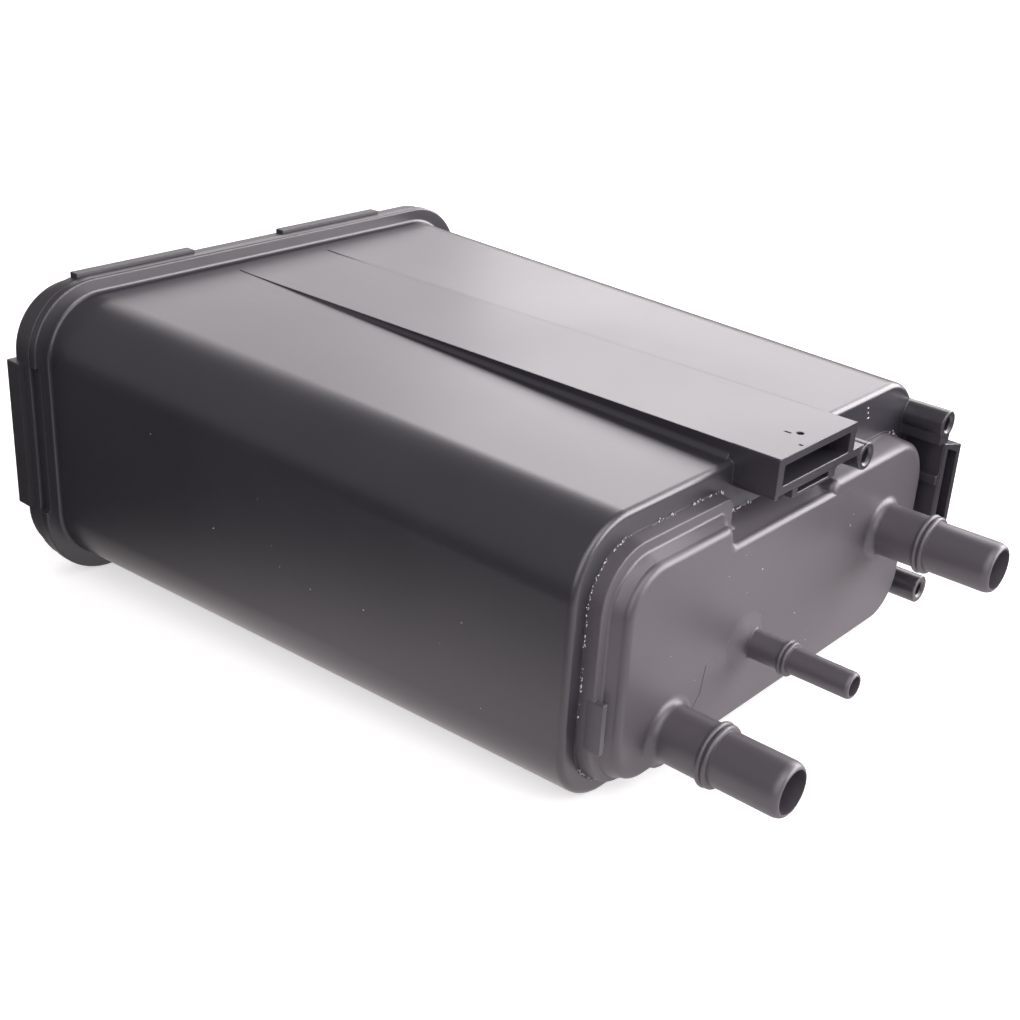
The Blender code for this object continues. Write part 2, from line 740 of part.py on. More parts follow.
def build_cap():
    cap = loft_part("port_cap", cap_sections(), CAP_PLASTIC)
    combine(cap, loft_helper("cap_hollow", cap_hollow_sections()), "DIFFERENCE")
    half = DIVIDER_THICKNESS / 2
    seal_z = (
        PORT_END_BOTTOM + OPENING_LIP + GAP,
        PORT_END_TOP - STEP_DROP - OPENING_LIP - GAP,
    )
    seal = block(
        "cap_divider",
        (END_INNER - OVERLAP + GAP, PANEL_X - CAP_WALL / 2),
        (DIVIDER_Y - half, DIVIDER_Y + half),
        seal_z,
    )
    combine(cap, seal, "UNION")
    tab_x = (LEDGE_X - CAP_TAB_ROOT, LEDGE_X + CAP_TAB_RISE)
    tab_z = (CAP_TAB_Z - CAP_TAB_HEIGHT / 2, CAP_TAB_Z + CAP_TAB_HEIGHT / 2)
    outer = PORT_END_HALF_WIDTH - GAP
    for side, name in ((-1, "near_tab"), (1, "far_tab")):
        limits = sorted((side * outer, side * (outer - CAP_TAB_THICKNESS)))
        combine(cap, block(name, tab_x, limits, tab_z), "UNION")
    large = (
        LARGE_STUB_LENGTH,
        LARGE_STEM_RADIUS,
        LARGE_BEAD_RADIUS,
        LARGE_STUB_RADIUS,
        LARGE_BEAD_CENTRE,
        LARGE_BEAD_WIDTH,
        LARGE_ROOT_RADIUS,
    )
    small = (
        SMALL_STUB_LENGTH,
        SMALL_STEM_RADIUS,
        SMALL_BEAD_RADIUS,
        SMALL_STUB_RADIUS,
        SMALL_BEAD_CENTRE,
        SMALL_BEAD_WIDTH,
        SMALL_ROOT_RADIUS,
    )
    stubs = (
        ("tank", TANK_PORT, large, LARGE_BORE_RADIUS),
        ("air", AIR_PORT, large, LARGE_BORE_RADIUS),
        ("purge", PURGE_PORT, small, SMALL_BORE_RADIUS),
    )
    for name, place, form, bore in stubs:
        stub = turned_helper(f"{name}_stub", stub_profile(*form), place)
        combine(cap, stub, "UNION")
    bores = [
        ((PANEL_X - 2 * CAP_WALL, PANEL_X + form[0] + OVERRUN), bore, place)
        for name, place, form, bore in stubs
    ]
    drill(cap, "port_bores", bores)


def pan_outline(inset=0.0):
    """Outline of the cover's pan, behind its weld flange."""
    wide = FLANGE_HALF_WIDTH - PAN_SIDE_STEP - inset
    high = FLANGE_HALF_HEIGHT - PAN_TOP_STEP - inset
    radius = FLANGE_CORNER - PAN_TOP_STEP - inset
    return rounded_outline(box_corners(-wide, wide, -high, high, radius))


def cover_sections():
    """Weld flange, step and pan with a rounded back edge, from front to rear."""
    sections = [
        (COVER_FRONT, flange_outline(COVER_INSET + FLANGE_EDGE)),
        (COVER_FRONT - FLANGE_EDGE, flange_outline(COVER_INSET)),
        (COVER_STEP + FLANGE_EDGE, flange_outline(COVER_INSET)),
        (COVER_STEP, flange_outline(COVER_INSET + FLANGE_EDGE)),
        (COVER_STEP, pan_outline()),
    ]
    for along, inset in arc(PAN_EDGE, 4):
        sections.append((COVER_BACK + PAN_EDGE - along, pan_outline(inset)))
    return sections


def cover_hollow_sections():
    return [
        (COVER_FRONT + OVERRUN, pan_outline(PAN_WALL)),
        (COVER_INNER + FLANGE_EDGE, pan_outline(PAN_WALL)),
        (COVER_INNER, pan_outline(PAN_WALL + FLANGE_EDGE)),
    ]


def spring_places():
    """(name, y, z) of each coil spring, four on the tank side and two on the air side."""
    near_edge = -half_width(PLATE_X) + WALL
    far_edge = half_width(PLATE_X) - WALL
    tank_y = (near_edge + DIVIDER_Y) / 2
    air_y = (far_edge + DIVIDER_Y) / 2
    places = [
        (f"tank_spring_{index + 1}", tank_y + side * SPRING_SPREAD, up * SPRING_Z)
        for index, (side, up) in enumerate(((-1, -1), (-1, 1), (1, -1), (1, 1)))
    ]
    places += [
        (f"air_spring_{index + 1}", air_y, up * SPRING_Z)
        for index, up in enumerate((-1, 1))
    ]
    return places


def add_cover_tabs(cover):
    """Locating tabs round the weld flange, two above, two below and one on each side."""
    tab_back = COVER_STEP + FLANGE_EDGE / 2
    tab_x = (tab_back, tab_back + TAB_DEPTH - FLANGE_EDGE)
    reach = FLANGE_HALF_WIDTH + SIDE_TAB_RISE
    base = FLANGE_HALF_WIDTH - PAN_SIDE_STEP - PAN_WALL / 2
    span = (-SIDE_TAB_HALF_LENGTH, SIDE_TAB_HALF_LENGTH)
    for side, name in ((-1, "cover_near_tab"), (1, "cover_far_tab")):
        limits = sorted((side * base, side * reach))
        combine(cover, block(name, tab_x, limits, span), "UNION")
    reach = FLANGE_HALF_HEIGHT + TOP_TAB_RISE
    base = FLANGE_HALF_HEIGHT - PAN_TOP_STEP - PAN_WALL / 2
    for side, level in ((1, "top"), (-1, "bottom")):
        for index, shares in enumerate(TOP_TAB_SHARES):
            span = [share * FLANGE_HALF_WIDTH for share in shares]
            limits = sorted((side * base, side * reach))
            tab = block(f"cover_{level}_tab_{index + 1}", tab_x, span, limits)
            combine(cover, tab, "UNION")


def cut_cover_panels(cover):
    """Shallow panels that leave stiffening ribs across the back of the cover."""
    columns, rows = COVER_PANELS
    field_y = FLANGE_HALF_WIDTH - PAN_SIDE_STEP - PAN_EDGE - COVER_PANEL_RIB
    field_z = FLANGE_HALF_HEIGHT - PAN_TOP_STEP - PAN_EDGE - COVER_PANEL_RIB
    for column in range(columns):
        for row in range(rows):
            low_y = -field_y + 2 * field_y * column / columns + COVER_PANEL_RIB / 2
            high_y = -field_y + 2 * field_y * (column + 1) / columns - COVER_PANEL_RIB / 2
            low_z = -field_z + 2 * field_z * row / rows + COVER_PANEL_RIB / 2
            high_z = -field_z + 2 * field_z * (row + 1) / rows - COVER_PANEL_RIB / 2
            sink = block(
                f"cover_panel_{column + 1}_{row + 1}",
                (COVER_BACK - OVERRUN, COVER_BACK + COVER_PANEL_DEPTH),
                (low_y, high_y),
                (low_z, high_z),
                radius=COVER_PANEL_CORNER,
                steps=4,
            )
            combine(cover, sink, "DIFFERENCE")


def build_cover():
    cover = loft_part("rear_cover", cover_sections(), COVER_PLASTIC)
    combine(cover, loft_helper("cover_hollow", cover_hollow_sections()), "DIFFERENCE")
    add_cover_tabs(cover)
    cut_cover_panels(cover)
    for name, y, z in spring_places():
        limits = (COVER_INNER - PAN_WALL / 3, COVER_INNER + SEAT_HEIGHT)
        place = (y, z)
        seat = cylinder_helper(f"{name}_cover_seat", limits, SEAT_RADIUS, place, SEAT_STEPS)
        combine(cover, seat, "UNION")


def slot_cutter(name, x, far_side):
    """One helper with every slot of a perforated plate."""
    outline = chamber_outline(x[0], far_side, GAP + SLOT_MARGIN)
    low_y = min(point.x for point in outline)
    high_y = max(point.x for point in outline)
    high_z = max(point.y for point in outline)
    columns = 1 if far_side else 2
    width = (high_y - low_y - SLOT_BRIDGE * (columns - 1)) / columns
    rows = int(2 * high_z / SLOT_PITCH)
    bm = bmesh.new()
    for column in range(columns):
        centre_y = low_y + width / 2 + column * (width + SLOT_BRIDGE)
        for row in range(rows):
            centre_z = (row - (rows - 1) / 2) * SLOT_PITCH
            place = Matrix.Translation(((x[0] + x[1]) / 2, centre_y, centre_z))
            size = Matrix.Diagonal((x[1] - x[0] + OVERRUN, width, SLOT_HEIGHT, 1.0))
            bmesh.ops.create_cube(bm, size=1.0, matrix=place @ size)
    mesh = bpy.data.meshes.new(name)
    bm.to_mesh(mesh)
    bm.free()
    return link_helper(bpy.data.objects.new(name, mesh))


def chamber_part(name, x, far_side, material):
    sections = [(place, chamber_outline(place, far_side, GAP)) for place in x]
    return loft_part(name, sections, material)


def build_chamber(side, far_side):
    """Support grid, filter pads, carbon bed and spring plate of one chamber."""
    grid_x = (GRID_BACK, GRID_FRONT)
    grid = chamber_part(f"{side}_support_grid", grid_x, far_side, INNER_PLASTIC)
    combine(grid, slot_cutter(f"{side}_grid_slots", grid_x, far_side), "DIFFERENCE")
    front_pad_x = (FRONT_PAD_BACK, FRONT_PAD_BACK + PAD_THICKNESS)
    chamber_part(f"{side}_front_filter_pad", front_pad_x, far_side, FILTER_FOAM)
    chamber_part(f"{side}_carbon_bed", (BED_BACK, BED_FRONT), far_side, CARBON)
    rear_pad_x = (REAR_PAD_BACK, REAR_PAD_BACK + PAD_THICKNESS)
    chamber_part(f"{side}_rear_filter_pad", rear_pad_x, far_side, FILTER_FOAM)
    plate_x = (PLATE_X, PLATE_X + PLATE_THICKNESS)
    plate = chamber_part(f"{side}_spring_plate", plate_x, far_side, INNER_PLASTIC)
    combine(plate, slot_cutter(f"{side}_plate_slots", plate_x, far_side), "DIFFERENCE")
    for name, y, z in spring_places():
        if name.startswith(side):
            limits = (PLATE_X - SEAT_HEIGHT, PLATE_X + PLATE_THICKNESS / 2)
            place = (y, z)
            seat = cylinder_helper(f"{name}_plate_seat", limits, SEAT_RADIUS, place, SEAT_STEPS)
            combine(plate, seat, "UNION")


def build_spring(name, y, z):
    """Compression spring with closed ends, between the cover and the spring plate."""
    low = COVER_INNER + SPRING_WIRE_RADIUS + GAP
    high = PLATE_X - SPRING_WIRE_RADIUS - GAP
    curve = bpy.data.curves.new(name, "CURVE")
    curve.dimensions = "3D"
    curve.bevel_depth = SPRING_WIRE_RADIUS
    curve.bevel_resolution = 2
    curve.use_fill_caps = True
    spline = curve.splines.new("POLY")
    count = int(SPRING_TURNS * SPRING_POINTS_PER_TURN) + 1
    spline.points.add(count - 1)
    closed = 2 * SPRING_WIRE_RADIUS * SPRING_END_TURNS + GAP
    for index, point in enumerate(spline.points):
        turn = SPRING_TURNS * index / (count - 1)
        from_end = min(turn, SPRING_TURNS - turn)
        if from_end < SPRING_END_TURNS:
            rise = closed * from_end / SPRING_END_TURNS
        else:
            open_turns = SPRING_TURNS / 2 - SPRING_END_TURNS
            open_share = (from_end - SPRING_END_TURNS) / open_turns
            rise = closed + ((high - low) / 2 - closed) * open_share
        x = low + rise if turn <= SPRING_TURNS / 2 else high - rise
        angle = 2 * math.pi * turn
        side = y + SPRING_RADIUS * math.cos(angle)
        up = z + SPRING_RADIUS * math.sin(angle)
        point.co = (x, side, up, 1.0)
    link_part(bpy.data.objects.new(name, curve), SPRING_STEEL)


def build():
    build_housing()
    build_cap()
    build_cover()
    build_chamber("tank", far_side=False)
    build_chamber("air", far_side=True)
    for name, y, z in spring_places():
        build_spring(name, y, z)


build()
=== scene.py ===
"""Looks for the charcoal canister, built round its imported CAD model.

The three pieces that show are modelled again here with finer fillets, and weld flash,
crumbs, dust and a mould line are added. The pieces inside keep their CAD meshes and get
their materials here. Lengths are in metres. The model's own axes are X along the housing with
0 on the front face of its rear flange, Y across, and Z up with 0 at mid height.
"""

import json
import math
import random

import bmesh
import bpy
from mathutils import Matrix, Vector, noise

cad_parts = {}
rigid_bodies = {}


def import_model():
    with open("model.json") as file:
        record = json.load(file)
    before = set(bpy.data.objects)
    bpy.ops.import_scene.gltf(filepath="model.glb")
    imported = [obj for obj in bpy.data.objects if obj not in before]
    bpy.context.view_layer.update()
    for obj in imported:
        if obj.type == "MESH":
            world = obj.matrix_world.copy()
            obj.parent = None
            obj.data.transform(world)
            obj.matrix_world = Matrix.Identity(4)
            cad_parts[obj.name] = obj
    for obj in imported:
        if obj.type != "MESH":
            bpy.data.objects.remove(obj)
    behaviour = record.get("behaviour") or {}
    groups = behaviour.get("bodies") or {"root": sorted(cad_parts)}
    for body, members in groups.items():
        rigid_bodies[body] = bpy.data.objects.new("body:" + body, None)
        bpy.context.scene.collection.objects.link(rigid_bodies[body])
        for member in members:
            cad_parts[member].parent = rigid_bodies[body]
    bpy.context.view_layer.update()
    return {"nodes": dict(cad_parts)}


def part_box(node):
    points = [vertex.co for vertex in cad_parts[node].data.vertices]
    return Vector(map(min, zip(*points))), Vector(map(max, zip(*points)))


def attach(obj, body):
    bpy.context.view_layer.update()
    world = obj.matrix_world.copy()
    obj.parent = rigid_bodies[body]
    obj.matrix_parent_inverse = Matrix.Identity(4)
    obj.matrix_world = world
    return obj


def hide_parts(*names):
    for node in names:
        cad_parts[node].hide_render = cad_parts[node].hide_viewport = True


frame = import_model()

# Facets and fits
CORNER_STEPS = 16
FILLET_STEPS = 6
EDGE_STEPS = 3
ROUND_STEPS = 96
SHARP_ANGLE = math.radians(32)
EDGE = 0.0004
GAP = 0.0003
OVERLAP = 0.0005
OVERRUN = 0.002
FLAT_FACE_WEIGHT = 100

# Housing
HOUSING_LENGTH = 0.2114
HOUSING_HALF_WIDTH = 0.0917
HOUSING_HALF_HEIGHT = 0.0463
HOUSING_CORNER = 0.020
DRAFT = math.radians(1.35)
WALL = 0.0025
SHOULDER_RADIUS = 0.0018
ROOT_RADIUS = 0.0012
FLANGE_HALF_WIDTH = 0.0974
FLANGE_HALF_HEIGHT = 0.0514
FLANGE_THICKNESS = 0.0035
FLANGE_CORNER = 0.024
FLANGE_EDGE = 0.0006
FLANGE_FLAT_DEPTH = 0.0016
RECESS_DEPTH = 0.0030

# Port end and cap; beyond CROWN_Y the panel reaches up to the cap's low upper edge
PORT_END_HALF_WIDTH = 0.0812
PORT_END_TOP = 0.0344
PORT_END_BOTTOM = -0.0374
PORT_END_CORNER = 0.0165
STEP_Y = -0.0240
STEP_DROP = 0.0083
STEP_RADIUS = 0.003
LEDGE_RISE = 0.0042
LEDGE_SLOPE = 0.0008
LEDGE_WIDTH = 0.0033
LEDGE_EDGE = 0.0004
LEDGE_TILT = 0.00005
PANEL_RISE = 0.0050
PANEL_SLOPE = 0.0014
PANEL_EDGE = 0.0022
PANEL_ROOT = 0.0010
FAR_TOP_SLOPE = 0.50
CROWN_Y = 0.0205
CROWN_BOTTOM = -0.0060
CROWN_INSET = 0.0012
CROWN_CORNER = 0.0155
CAP_WALL = 0.0025
CAP_TAB_Z = (-0.0210, -0.0060)
CAP_TAB_RISE = 0.0032
CAP_TAB_THICKNESS = 0.0018
CAP_TAB_ROOT = 0.002

# Hose stubs
TANK_PORT = (-0.0525, -0.0251)
AIR_PORT = (0.0570, -0.0006)
PURGE_PORT = (-0.0142, -0.0131)
LARGE_STUB = {
    "length": 0.0391,
    "stem": 0.00825,
    "bead": 0.0094,
    "radius": 0.00791,
    "bead_centre": 0.0165,
    "bead_width": 0.0034,
    "root": 0.0026,
}
SMALL_STUB = {
    "length": 0.0330,
    "stem": 0.0043,
    "bead": 0.00535,
    "radius": 0.003945,
    "bead_centre": 0.0125,
    "bead_width": 0.0026,
    "root": 0.0016,
}
LARGE_BORE = 0.0063
SMALL_BORE = 0.00295
NOSE_SHARE = 0.35
NOSE_INSET = 0.55
BEAD_STEPS = 8
PURGE_SWELL = (-0.0185, -0.0108)
SWELL_RADIUS = 0.0105
SWELL_RISE = 0.0016
SWELL_STEPS = 10

# Rail, socket and cradle
MOUNT_PLANE = 0.2251
RAIL_TOP = 0.0460
RAIL_HALF_WIDTH = 0.0203
RAIL_STATIONS = (0.008, 0.014, 0.030, 0.060, HOUSING_LENGTH - SHOULDER_RADIUS)
RAIL_FOOT = 0.0020
RAIL_LEAST_FOOT = 0.0002
SOCKET_BOTTOM = 0.0350
SOCKET_Z = (0.0374, 0.0436)
SOCKET_HALF_WIDTH = 0.0173
SOCKET_DEPTH = 0.0115
SOCKET_ROOT = 0.002
SOCKET_DRAIN_X = 0.2187
SOCKET_DRAIN_RADIUS = 0.0011
CRADLE_BOTTOM = 0.0318
CRADLE_NEAR = -0.0108
CRADLE_SLOT_HALF_WIDTH = 0.0082
CRADLE_SLOT = (0.0327, 0.0343)
CRADLE_ARCH = (0.0118, 0.0246)
CRADLE_ARCH_TOP = 0.0346
CRADLE_ARCH_CORNER = 0.0015
FOOT_WIDTH = 0.0020
FOOT_BOTTOM = 0.0338

# Bosses as (y, z, radius, depth of root), web and channel
RAIL_BOSS = (0.0292, 0.0328, 0.0042, 0.001)
UPPER_BOSS = (0.0825, 0.0283, 0.0044, 0.0002)
LOWER_BOSS = (0.0844, -0.0309, 0.0046, 0.003)
BOSS_HOLE_RADIUS = 0.0022
BOSS_HOLE_DEPTH = 0.010
COUNTERSINK = 0.0007
NECK_NEAR = 0.0034
NECK_DROP = 0.0064
WEB_Y = (0.0830, 0.0852)
WEB_Z = (-0.0085, 0.0250)
WEB_ROOT = 0.003
CHANNEL_OUTER_Y = 0.0955
CHANNEL_TOP_INNER = 0.0213
CHANNEL_TOP_OUTER = 0.0182
CHANNEL_BOTTOM = -0.0098
CHANNEL_WALL = 0.0022
CHANNEL_DEPTH = 0.0135
CHANNEL_LENGTH = 0.0190
CHANNEL_TAPER = 0.016
RIB_Z = (0.0074, 0.0104)
RIB_Y = 0.0816

# Rear cover
COVER_FLANGE_THICKNESS = 0.0042
COVER_DEPTH = 0.0108
COVER_INSET = 0.0004
PAN_SIDE_STEP = 0.0014
PAN_TOP_STEP = 0.0028
PAN_EDGE = 0.0030
PAN_WALL = 0.0030
SIDE_TAB_Z = (-0.0245, 0.0260)
SIDE_TAB_RISE = 0.0013
SIDE_TAB_SETBACK = 0.0008
TOP_TABS = ((-0.077, -0.030), (0.0096, 0.0573))
TOP_TAB_RISE = 0.0010
COVER_PANEL_DEPTH = 0.0010
COVER_PANEL_RIB = 0.0045
COVER_PANEL_CORNER = 0.008
COVER_PANELS = (4, 2)

# Weld flash, crumbs, dust and mould line
FLASH_STEP = 0.0008
FLASH_SIDES = 6
FLASH_RADII = (0.00008, 0.00034)
FLASH_PITCH = 0.006
SEED = 11
CRUMB_PITCH = 0.011
CRUMB_COUNT = 900
CRUMB_LEVEL = -0.02
CRUMB_RADII = (0.00005, 0.00020)
CRUMB_STRETCH = (0.8, 3.2)
CRUMB_SPREAD = 0.0003
DUST_ON_PANEL = 16
DUST_PANEL_Y = (-0.060, 0.045)
DUST_PANEL_Z = (-0.028, 0.018)
DUST_ON_SIDE = 10
DUST_SIDE_X = (0.010, 0.200)
DUST_SIDE_Z = (-0.022, 0.022)
DUST_RADII = (0.00007, 0.00016)
MOULD_LINE_RADIUS = 0.00011
MOULD_LINE = ((-0.0243, -0.0106), (-0.0369, -0.0113), (-0.0384, -0.0196), (-0.0420, -0.0237))

# Marks on the rail as (x limits, y limits), and pale specks on the end wall as (y, z)
NICK_DEPTH = 0.0004
NICK_EDGE = 0.00008
NICKS = (((0.2149, 0.2170), (-0.0023, -0.0016)), ((0.2227, 0.2239), (-0.0077, -0.0069)))
SPECK_RADII = (0.00022, 0.00034)
SPECKS = ((0.0532, 0.0374), (0.0538, 0.0356), (0.0544, 0.0338))

# Planes along X
FLANGE_BACK = -FLANGE_THICKNESS
RECESS_FLOOR = HOUSING_LENGTH - RECESS_DEPTH
CAP_BACK = RECESS_FLOOR + GAP
CAP_FRONT = HOUSING_LENGTH - GAP
LEDGE_X = HOUSING_LENGTH + LEDGE_RISE
PANEL_X = LEDGE_X + PANEL_RISE
COVER_FRONT = FLANGE_BACK - GAP
COVER_STEP = COVER_FRONT - COVER_FLANGE_THICKNESS
COVER_BACK = COVER_FRONT - COVER_DEPTH

# Camera, solved from the photograph's outlines
IMAGE_SIZE = 1020
FOCAL_PIXELS = 1522.45
CAMERA_AZIMUTH = math.radians(39.679)
CAMERA_ELEVATION = math.radians(25.228)
CAMERA_ROLL = math.radians(3.4875)
CAMERA_EYE = Vector((0.40550, -0.34681, 0.19955))
SENSOR_WIDTH = 36.0
NEAR_CLIP = 0.01

# Moulded plastic: clouds of tint and gloss some centimetres wide, and a fine grain
GLOSS_LEVEL = 1.0
GLOSS_SPREAD = 0.022
CLOUD_SCALE = 14.0
CLOUD_DETAIL = 6.0
CLOUD_RANGE = (0.3, 0.7)
CLOUD_STOPS = (0.35, 0.68)
CLOUD_TINT = 0.15
GRAIN_SCALE = 1900.0
GRAIN_DETAIL = 3.0
GRAIN_STRENGTH = 0.35
GRAIN_DEPTH = 0.00004
WORN_EDGE = 0.0003
BRIGHT_EDGE = 0.0005
BEVEL_SAMPLES = 4

# Felt, granules, wire and crumbs
CELL_STRENGTH = 0.8
CELL_GLOSS_SPREAD = 0.05
CELL_TINT = 0.25
CELL_RANGE = (0.3, 0.7)
WANDER_SHARE = 1 / 4
WANDER_DETAIL = 4.0

# Studio: softboxes as (name, place, size, radiance), floor and world
WHITE = (1.0, 1.0, 1.0, 1.0)
LAMP_COLOUR = (1.0, 0.955, 0.975)
LAMP_TARGET = Vector((0.0, 0.0, 0.05))
SOFTBOXES = (
    ("back_softbox", (-0.30, 1.67, 0.90), (2.2, 0.85), 3.9),
    ("left_softbox", (-1.46, 0.90, 0.78), (0.9, 0.75), 1.8),
    ("right_softbox", (1.15, 1.25, 0.56), (2.6, 1.0), 7.5),
    ("overhead_softbox", (0.75, -0.25, 1.45), (1.2, 1.2), 2.6),
    ("front_softbox", (0.80, -1.15, 0.85), (1.4, 1.4), 1.9),
)
FLOOR_SIZE = 12.0
FLOOR_COLOUR = (0.80, 0.79, 0.79, 1.0)
FLOOR_ROUGHNESS = 0.9
FLOOR_GLOW_CENTRE = (0.0, 0.0, 0.0)
FLOOR_GLOW_STRETCH = (1.0, 1.0, 1.0)
FLOOR_SHADOW_REACH = (0.30, 1.10)
FLOOR_GLOW = (0.55, 1.00)
SHEEN_CENTRE = (0.22, -0.02, 0.0)
SHEEN_STRETCH = (1.0, 1.6, 1.0)
SHEEN_REACH = (0.18, 0.30)
SHEEN = (1.00, 0.05)
SHEEN_COLOUR = (1.0, 0.93, 0.95, 1.0)
WORLD_STRENGTH = 0.30

low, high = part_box("canister_housing")
ORIGIN = Vector((low.x + FLANGE_THICKNESS, 0.0, (low.z + high.z) / 2))
HELPERS = bpy.data.collections.new("helpers")
bpy.context.scene.collection.children.link(HELPERS)


def rounded_outline(corners, steps=CORNER_STEPS):
    """Outline of a polygon of (y, z, radius) corners, each rounded with an arc."""
    points = []
    for index, (y, z, radius) in enumerate(corners):
        corner = Vector((y, z))
        before = (Vector(corners[index - 1][:2]) - corner).normalized()
        after = (Vector(corners[(index + 1) % len(corners)][:2]) - corner).normalized()
        half_angle = before.angle(after) / 2
        bisector = (before + after).normalized()
        centre = corner + bisector * radius / math.sin(half_angle)
        start = corner + before * radius / math.tan(half_angle) - centre
        end = corner + after * radius / math.tan(half_angle) - centre
        turn = math.atan2(start.x * end.y - start.y * end.x, start.dot(end))
        for step in range(steps + 1):
            points.append(centre + Matrix.Rotation(turn * step / steps, 2) @ start)
    return points


def box_corners(low_y, high_y, low_z, high_z, radius):
    return [
        (low_y, low_z, radius),
        (high_y, low_z, radius),
        (high_y, high_z, radius),
        (low_y, high_z, radius),
    ]


def new_mesh(name, bm):
    mesh = bpy.data.meshes.new(name)
    bm.to_mesh(mesh)
    bm.free()
    return mesh


def new_object(name, mesh):
    obj = bpy.data.objects.new(name, mesh)
    bpy.context.scene.collection.objects.link(obj)
    obj.location = ORIGIN
    return obj


def helper(name, mesh):
    obj = bpy.data.objects.new(name, mesh)
    HELPERS.objects.link(obj)
    obj.location = ORIGIN
    obj.hide_render = True
    return obj


def join(bm, ring, following):
    """Faces between two rings of as many points."""
    for index in range(len(ring)):
        corners = (ring[index - 1], ring[index], following[index], following[index - 1])
        bm.faces.new(corners)


def bridge(bm, rings):
    """Faces between neighbouring rings, and across the two ends."""
    for ring, following in zip(rings, rings[1:]):
        join(bm, ring, following)
    bm.faces.new(rings[0])
    bm.faces.new(rings[-1])
    bmesh.ops.recalc_face_normals(bm, faces=bm.faces)


def loft_mesh(name, sections):
    """Closed mesh through (x, outline) sections that all have as many points."""
    bm = bmesh.new()
    rings = [[bm.verts.new((x, y, z)) for y, z in outline] for x, outline in sections]
    bridge(bm, rings)
    return new_mesh(name, bm)


def combine(target, other, operation):
    modifier = target.modifiers.new(f"{operation.lower()} {other.name}", "BOOLEAN")
    modifier.operation = operation
    modifier.object = other


def loft_helper(name, sections):
    return helper(name, loft_mesh(name, sections))


def block(name, x, y, z, radius=EDGE, steps=EDGE_STEPS):
    outline = rounded_outline(box_corners(*y, *z, radius), steps)
    return loft_helper(name, [(x[0], outline), (x[1], outline)])


def turned_helper(name, profile, place, steps=ROUND_STEPS):
    """Helper turned about X through place, from (x, radius) points."""
    bm = bmesh.new()
    rings = []
    for x, radius in profile:
        ring = []
        for step in range(steps):
            angle = 2 * math.pi * step / steps
            side = place[0] + radius * math.cos(angle)
            ring.append(bm.verts.new((x, side, place[1] + radius * math.sin(angle))))
        rings.append(ring)
    bridge(bm, rings)
    return helper(name, new_mesh(name, bm))


def drill(target, name, holes):
    """Cuts holes along X, given as (x limits, radii at them, place), in one cutter."""
    bm = bmesh.new()
    for (start, end), radii, (y, z) in holes:
        place = Matrix.Translation(((start + end) / 2, y, z))
        bmesh.ops.create_cone(
            bm,
            cap_ends=True,
            segments=ROUND_STEPS,
            radius1=radii[0],
            radius2=radii[1],
            depth=end - start,
            matrix=place @ Matrix.Rotation(math.pi / 2, 4, "Y"),
        )
    combine(target, helper(name, new_mesh(name, bm)), "DIFFERENCE")


def arc(radius, steps=FILLET_STEPS):
    """(along, inset) pairs round a convex edge, from its side to its end face."""
    angles = [math.pi / 2 * step / steps for step in range(steps + 1)]
    return [(radius * math.sin(a), radius * (1 - math.cos(a))) for a in angles]


def half_width(x):
    return HOUSING_HALF_WIDTH - x * math.tan(DRAFT)


def half_height(x):
    return HOUSING_HALF_HEIGHT - x * math.tan(DRAFT)


def housing_outline(x, grow=0.0):
    wide = half_width(x) + grow
    tall = half_height(x) + grow
    return rounded_outline(box_corners(-wide, wide, -tall, tall, HOUSING_CORNER + grow))


def flange_outline(inset=0.0):
    wide = FLANGE_HALF_WIDTH - inset
    tall = FLANGE_HALF_HEIGHT - inset
    return rounded_outline(box_corners(-wide, wide, -tall, tall, FLANGE_CORNER - inset))


def port_outline(side=0.0, bottom=0.0, far_top=0.0):
    """The stepped outline of the port end, drawn in by three insets."""
    wide = PORT_END_HALF_WIDTH - side
    top = PORT_END_TOP - side
    shelf = PORT_END_TOP - STEP_DROP - far_top
    base = PORT_END_BOTTOM + bottom
    radius = PORT_END_CORNER - side / 2
    step = STEP_Y - side
    return rounded_outline(
        [
            (-wide, base, radius),
            (wide, base, radius),
            (wide, shelf, radius),
            (step, shelf, STEP_RADIUS),
            (step, top, STEP_RADIUS),
            (-wide, top, radius),
        ]
    )


def housing_sections():
    sections = []
    for along, inset in reversed(arc(FLANGE_EDGE, EDGE_STEPS)):
        sections.append((FLANGE_BACK + FLANGE_EDGE - along, flange_outline(inset)))
    for along, inset in arc(FLANGE_EDGE, EDGE_STEPS):
        sections.append((-FLANGE_EDGE + along, flange_outline(inset)))
    for along, inset in reversed(arc(ROOT_RADIUS)):
        x = ROOT_RADIUS - along
        sections.append((x, housing_outline(x, inset)))
    for along, inset in arc(SHOULDER_RADIUS):
        x = HOUSING_LENGTH - SHOULDER_RADIUS + along
        sections.append((x, housing_outline(x, -inset)))
    return sections


def rail_outline(x):
    base = half_height(x)
    foot = max(RAIL_LEAST_FOOT, min(RAIL_FOOT, RAIL_TOP - base))
    flare = arc(foot)
    right = [(RAIL_HALF_WIDTH + inset, base + foot - along) for along, inset in flare]
    right.append((RAIL_HALF_WIDTH + foot, base - WALL / 2))
    left = [(-y, z) for y, z in reversed(right)]
    return [(RAIL_HALF_WIDTH, RAIL_TOP), *right, *left, (-RAIL_HALF_WIDTH, RAIL_TOP)]


def channel_outline(inner_y, outer_y, inset=0.0):
    return rounded_outline(
        [
            (inner_y + inset, CHANNEL_BOTTOM + inset, EDGE),
            (outer_y - inset, CHANNEL_BOTTOM + inset, EDGE),
            (outer_y - inset, CHANNEL_TOP_OUTER - inset, EDGE),
            (inner_y + inset, CHANNEL_TOP_INNER - inset, EDGE),
        ],
        EDGE_STEPS,
    )


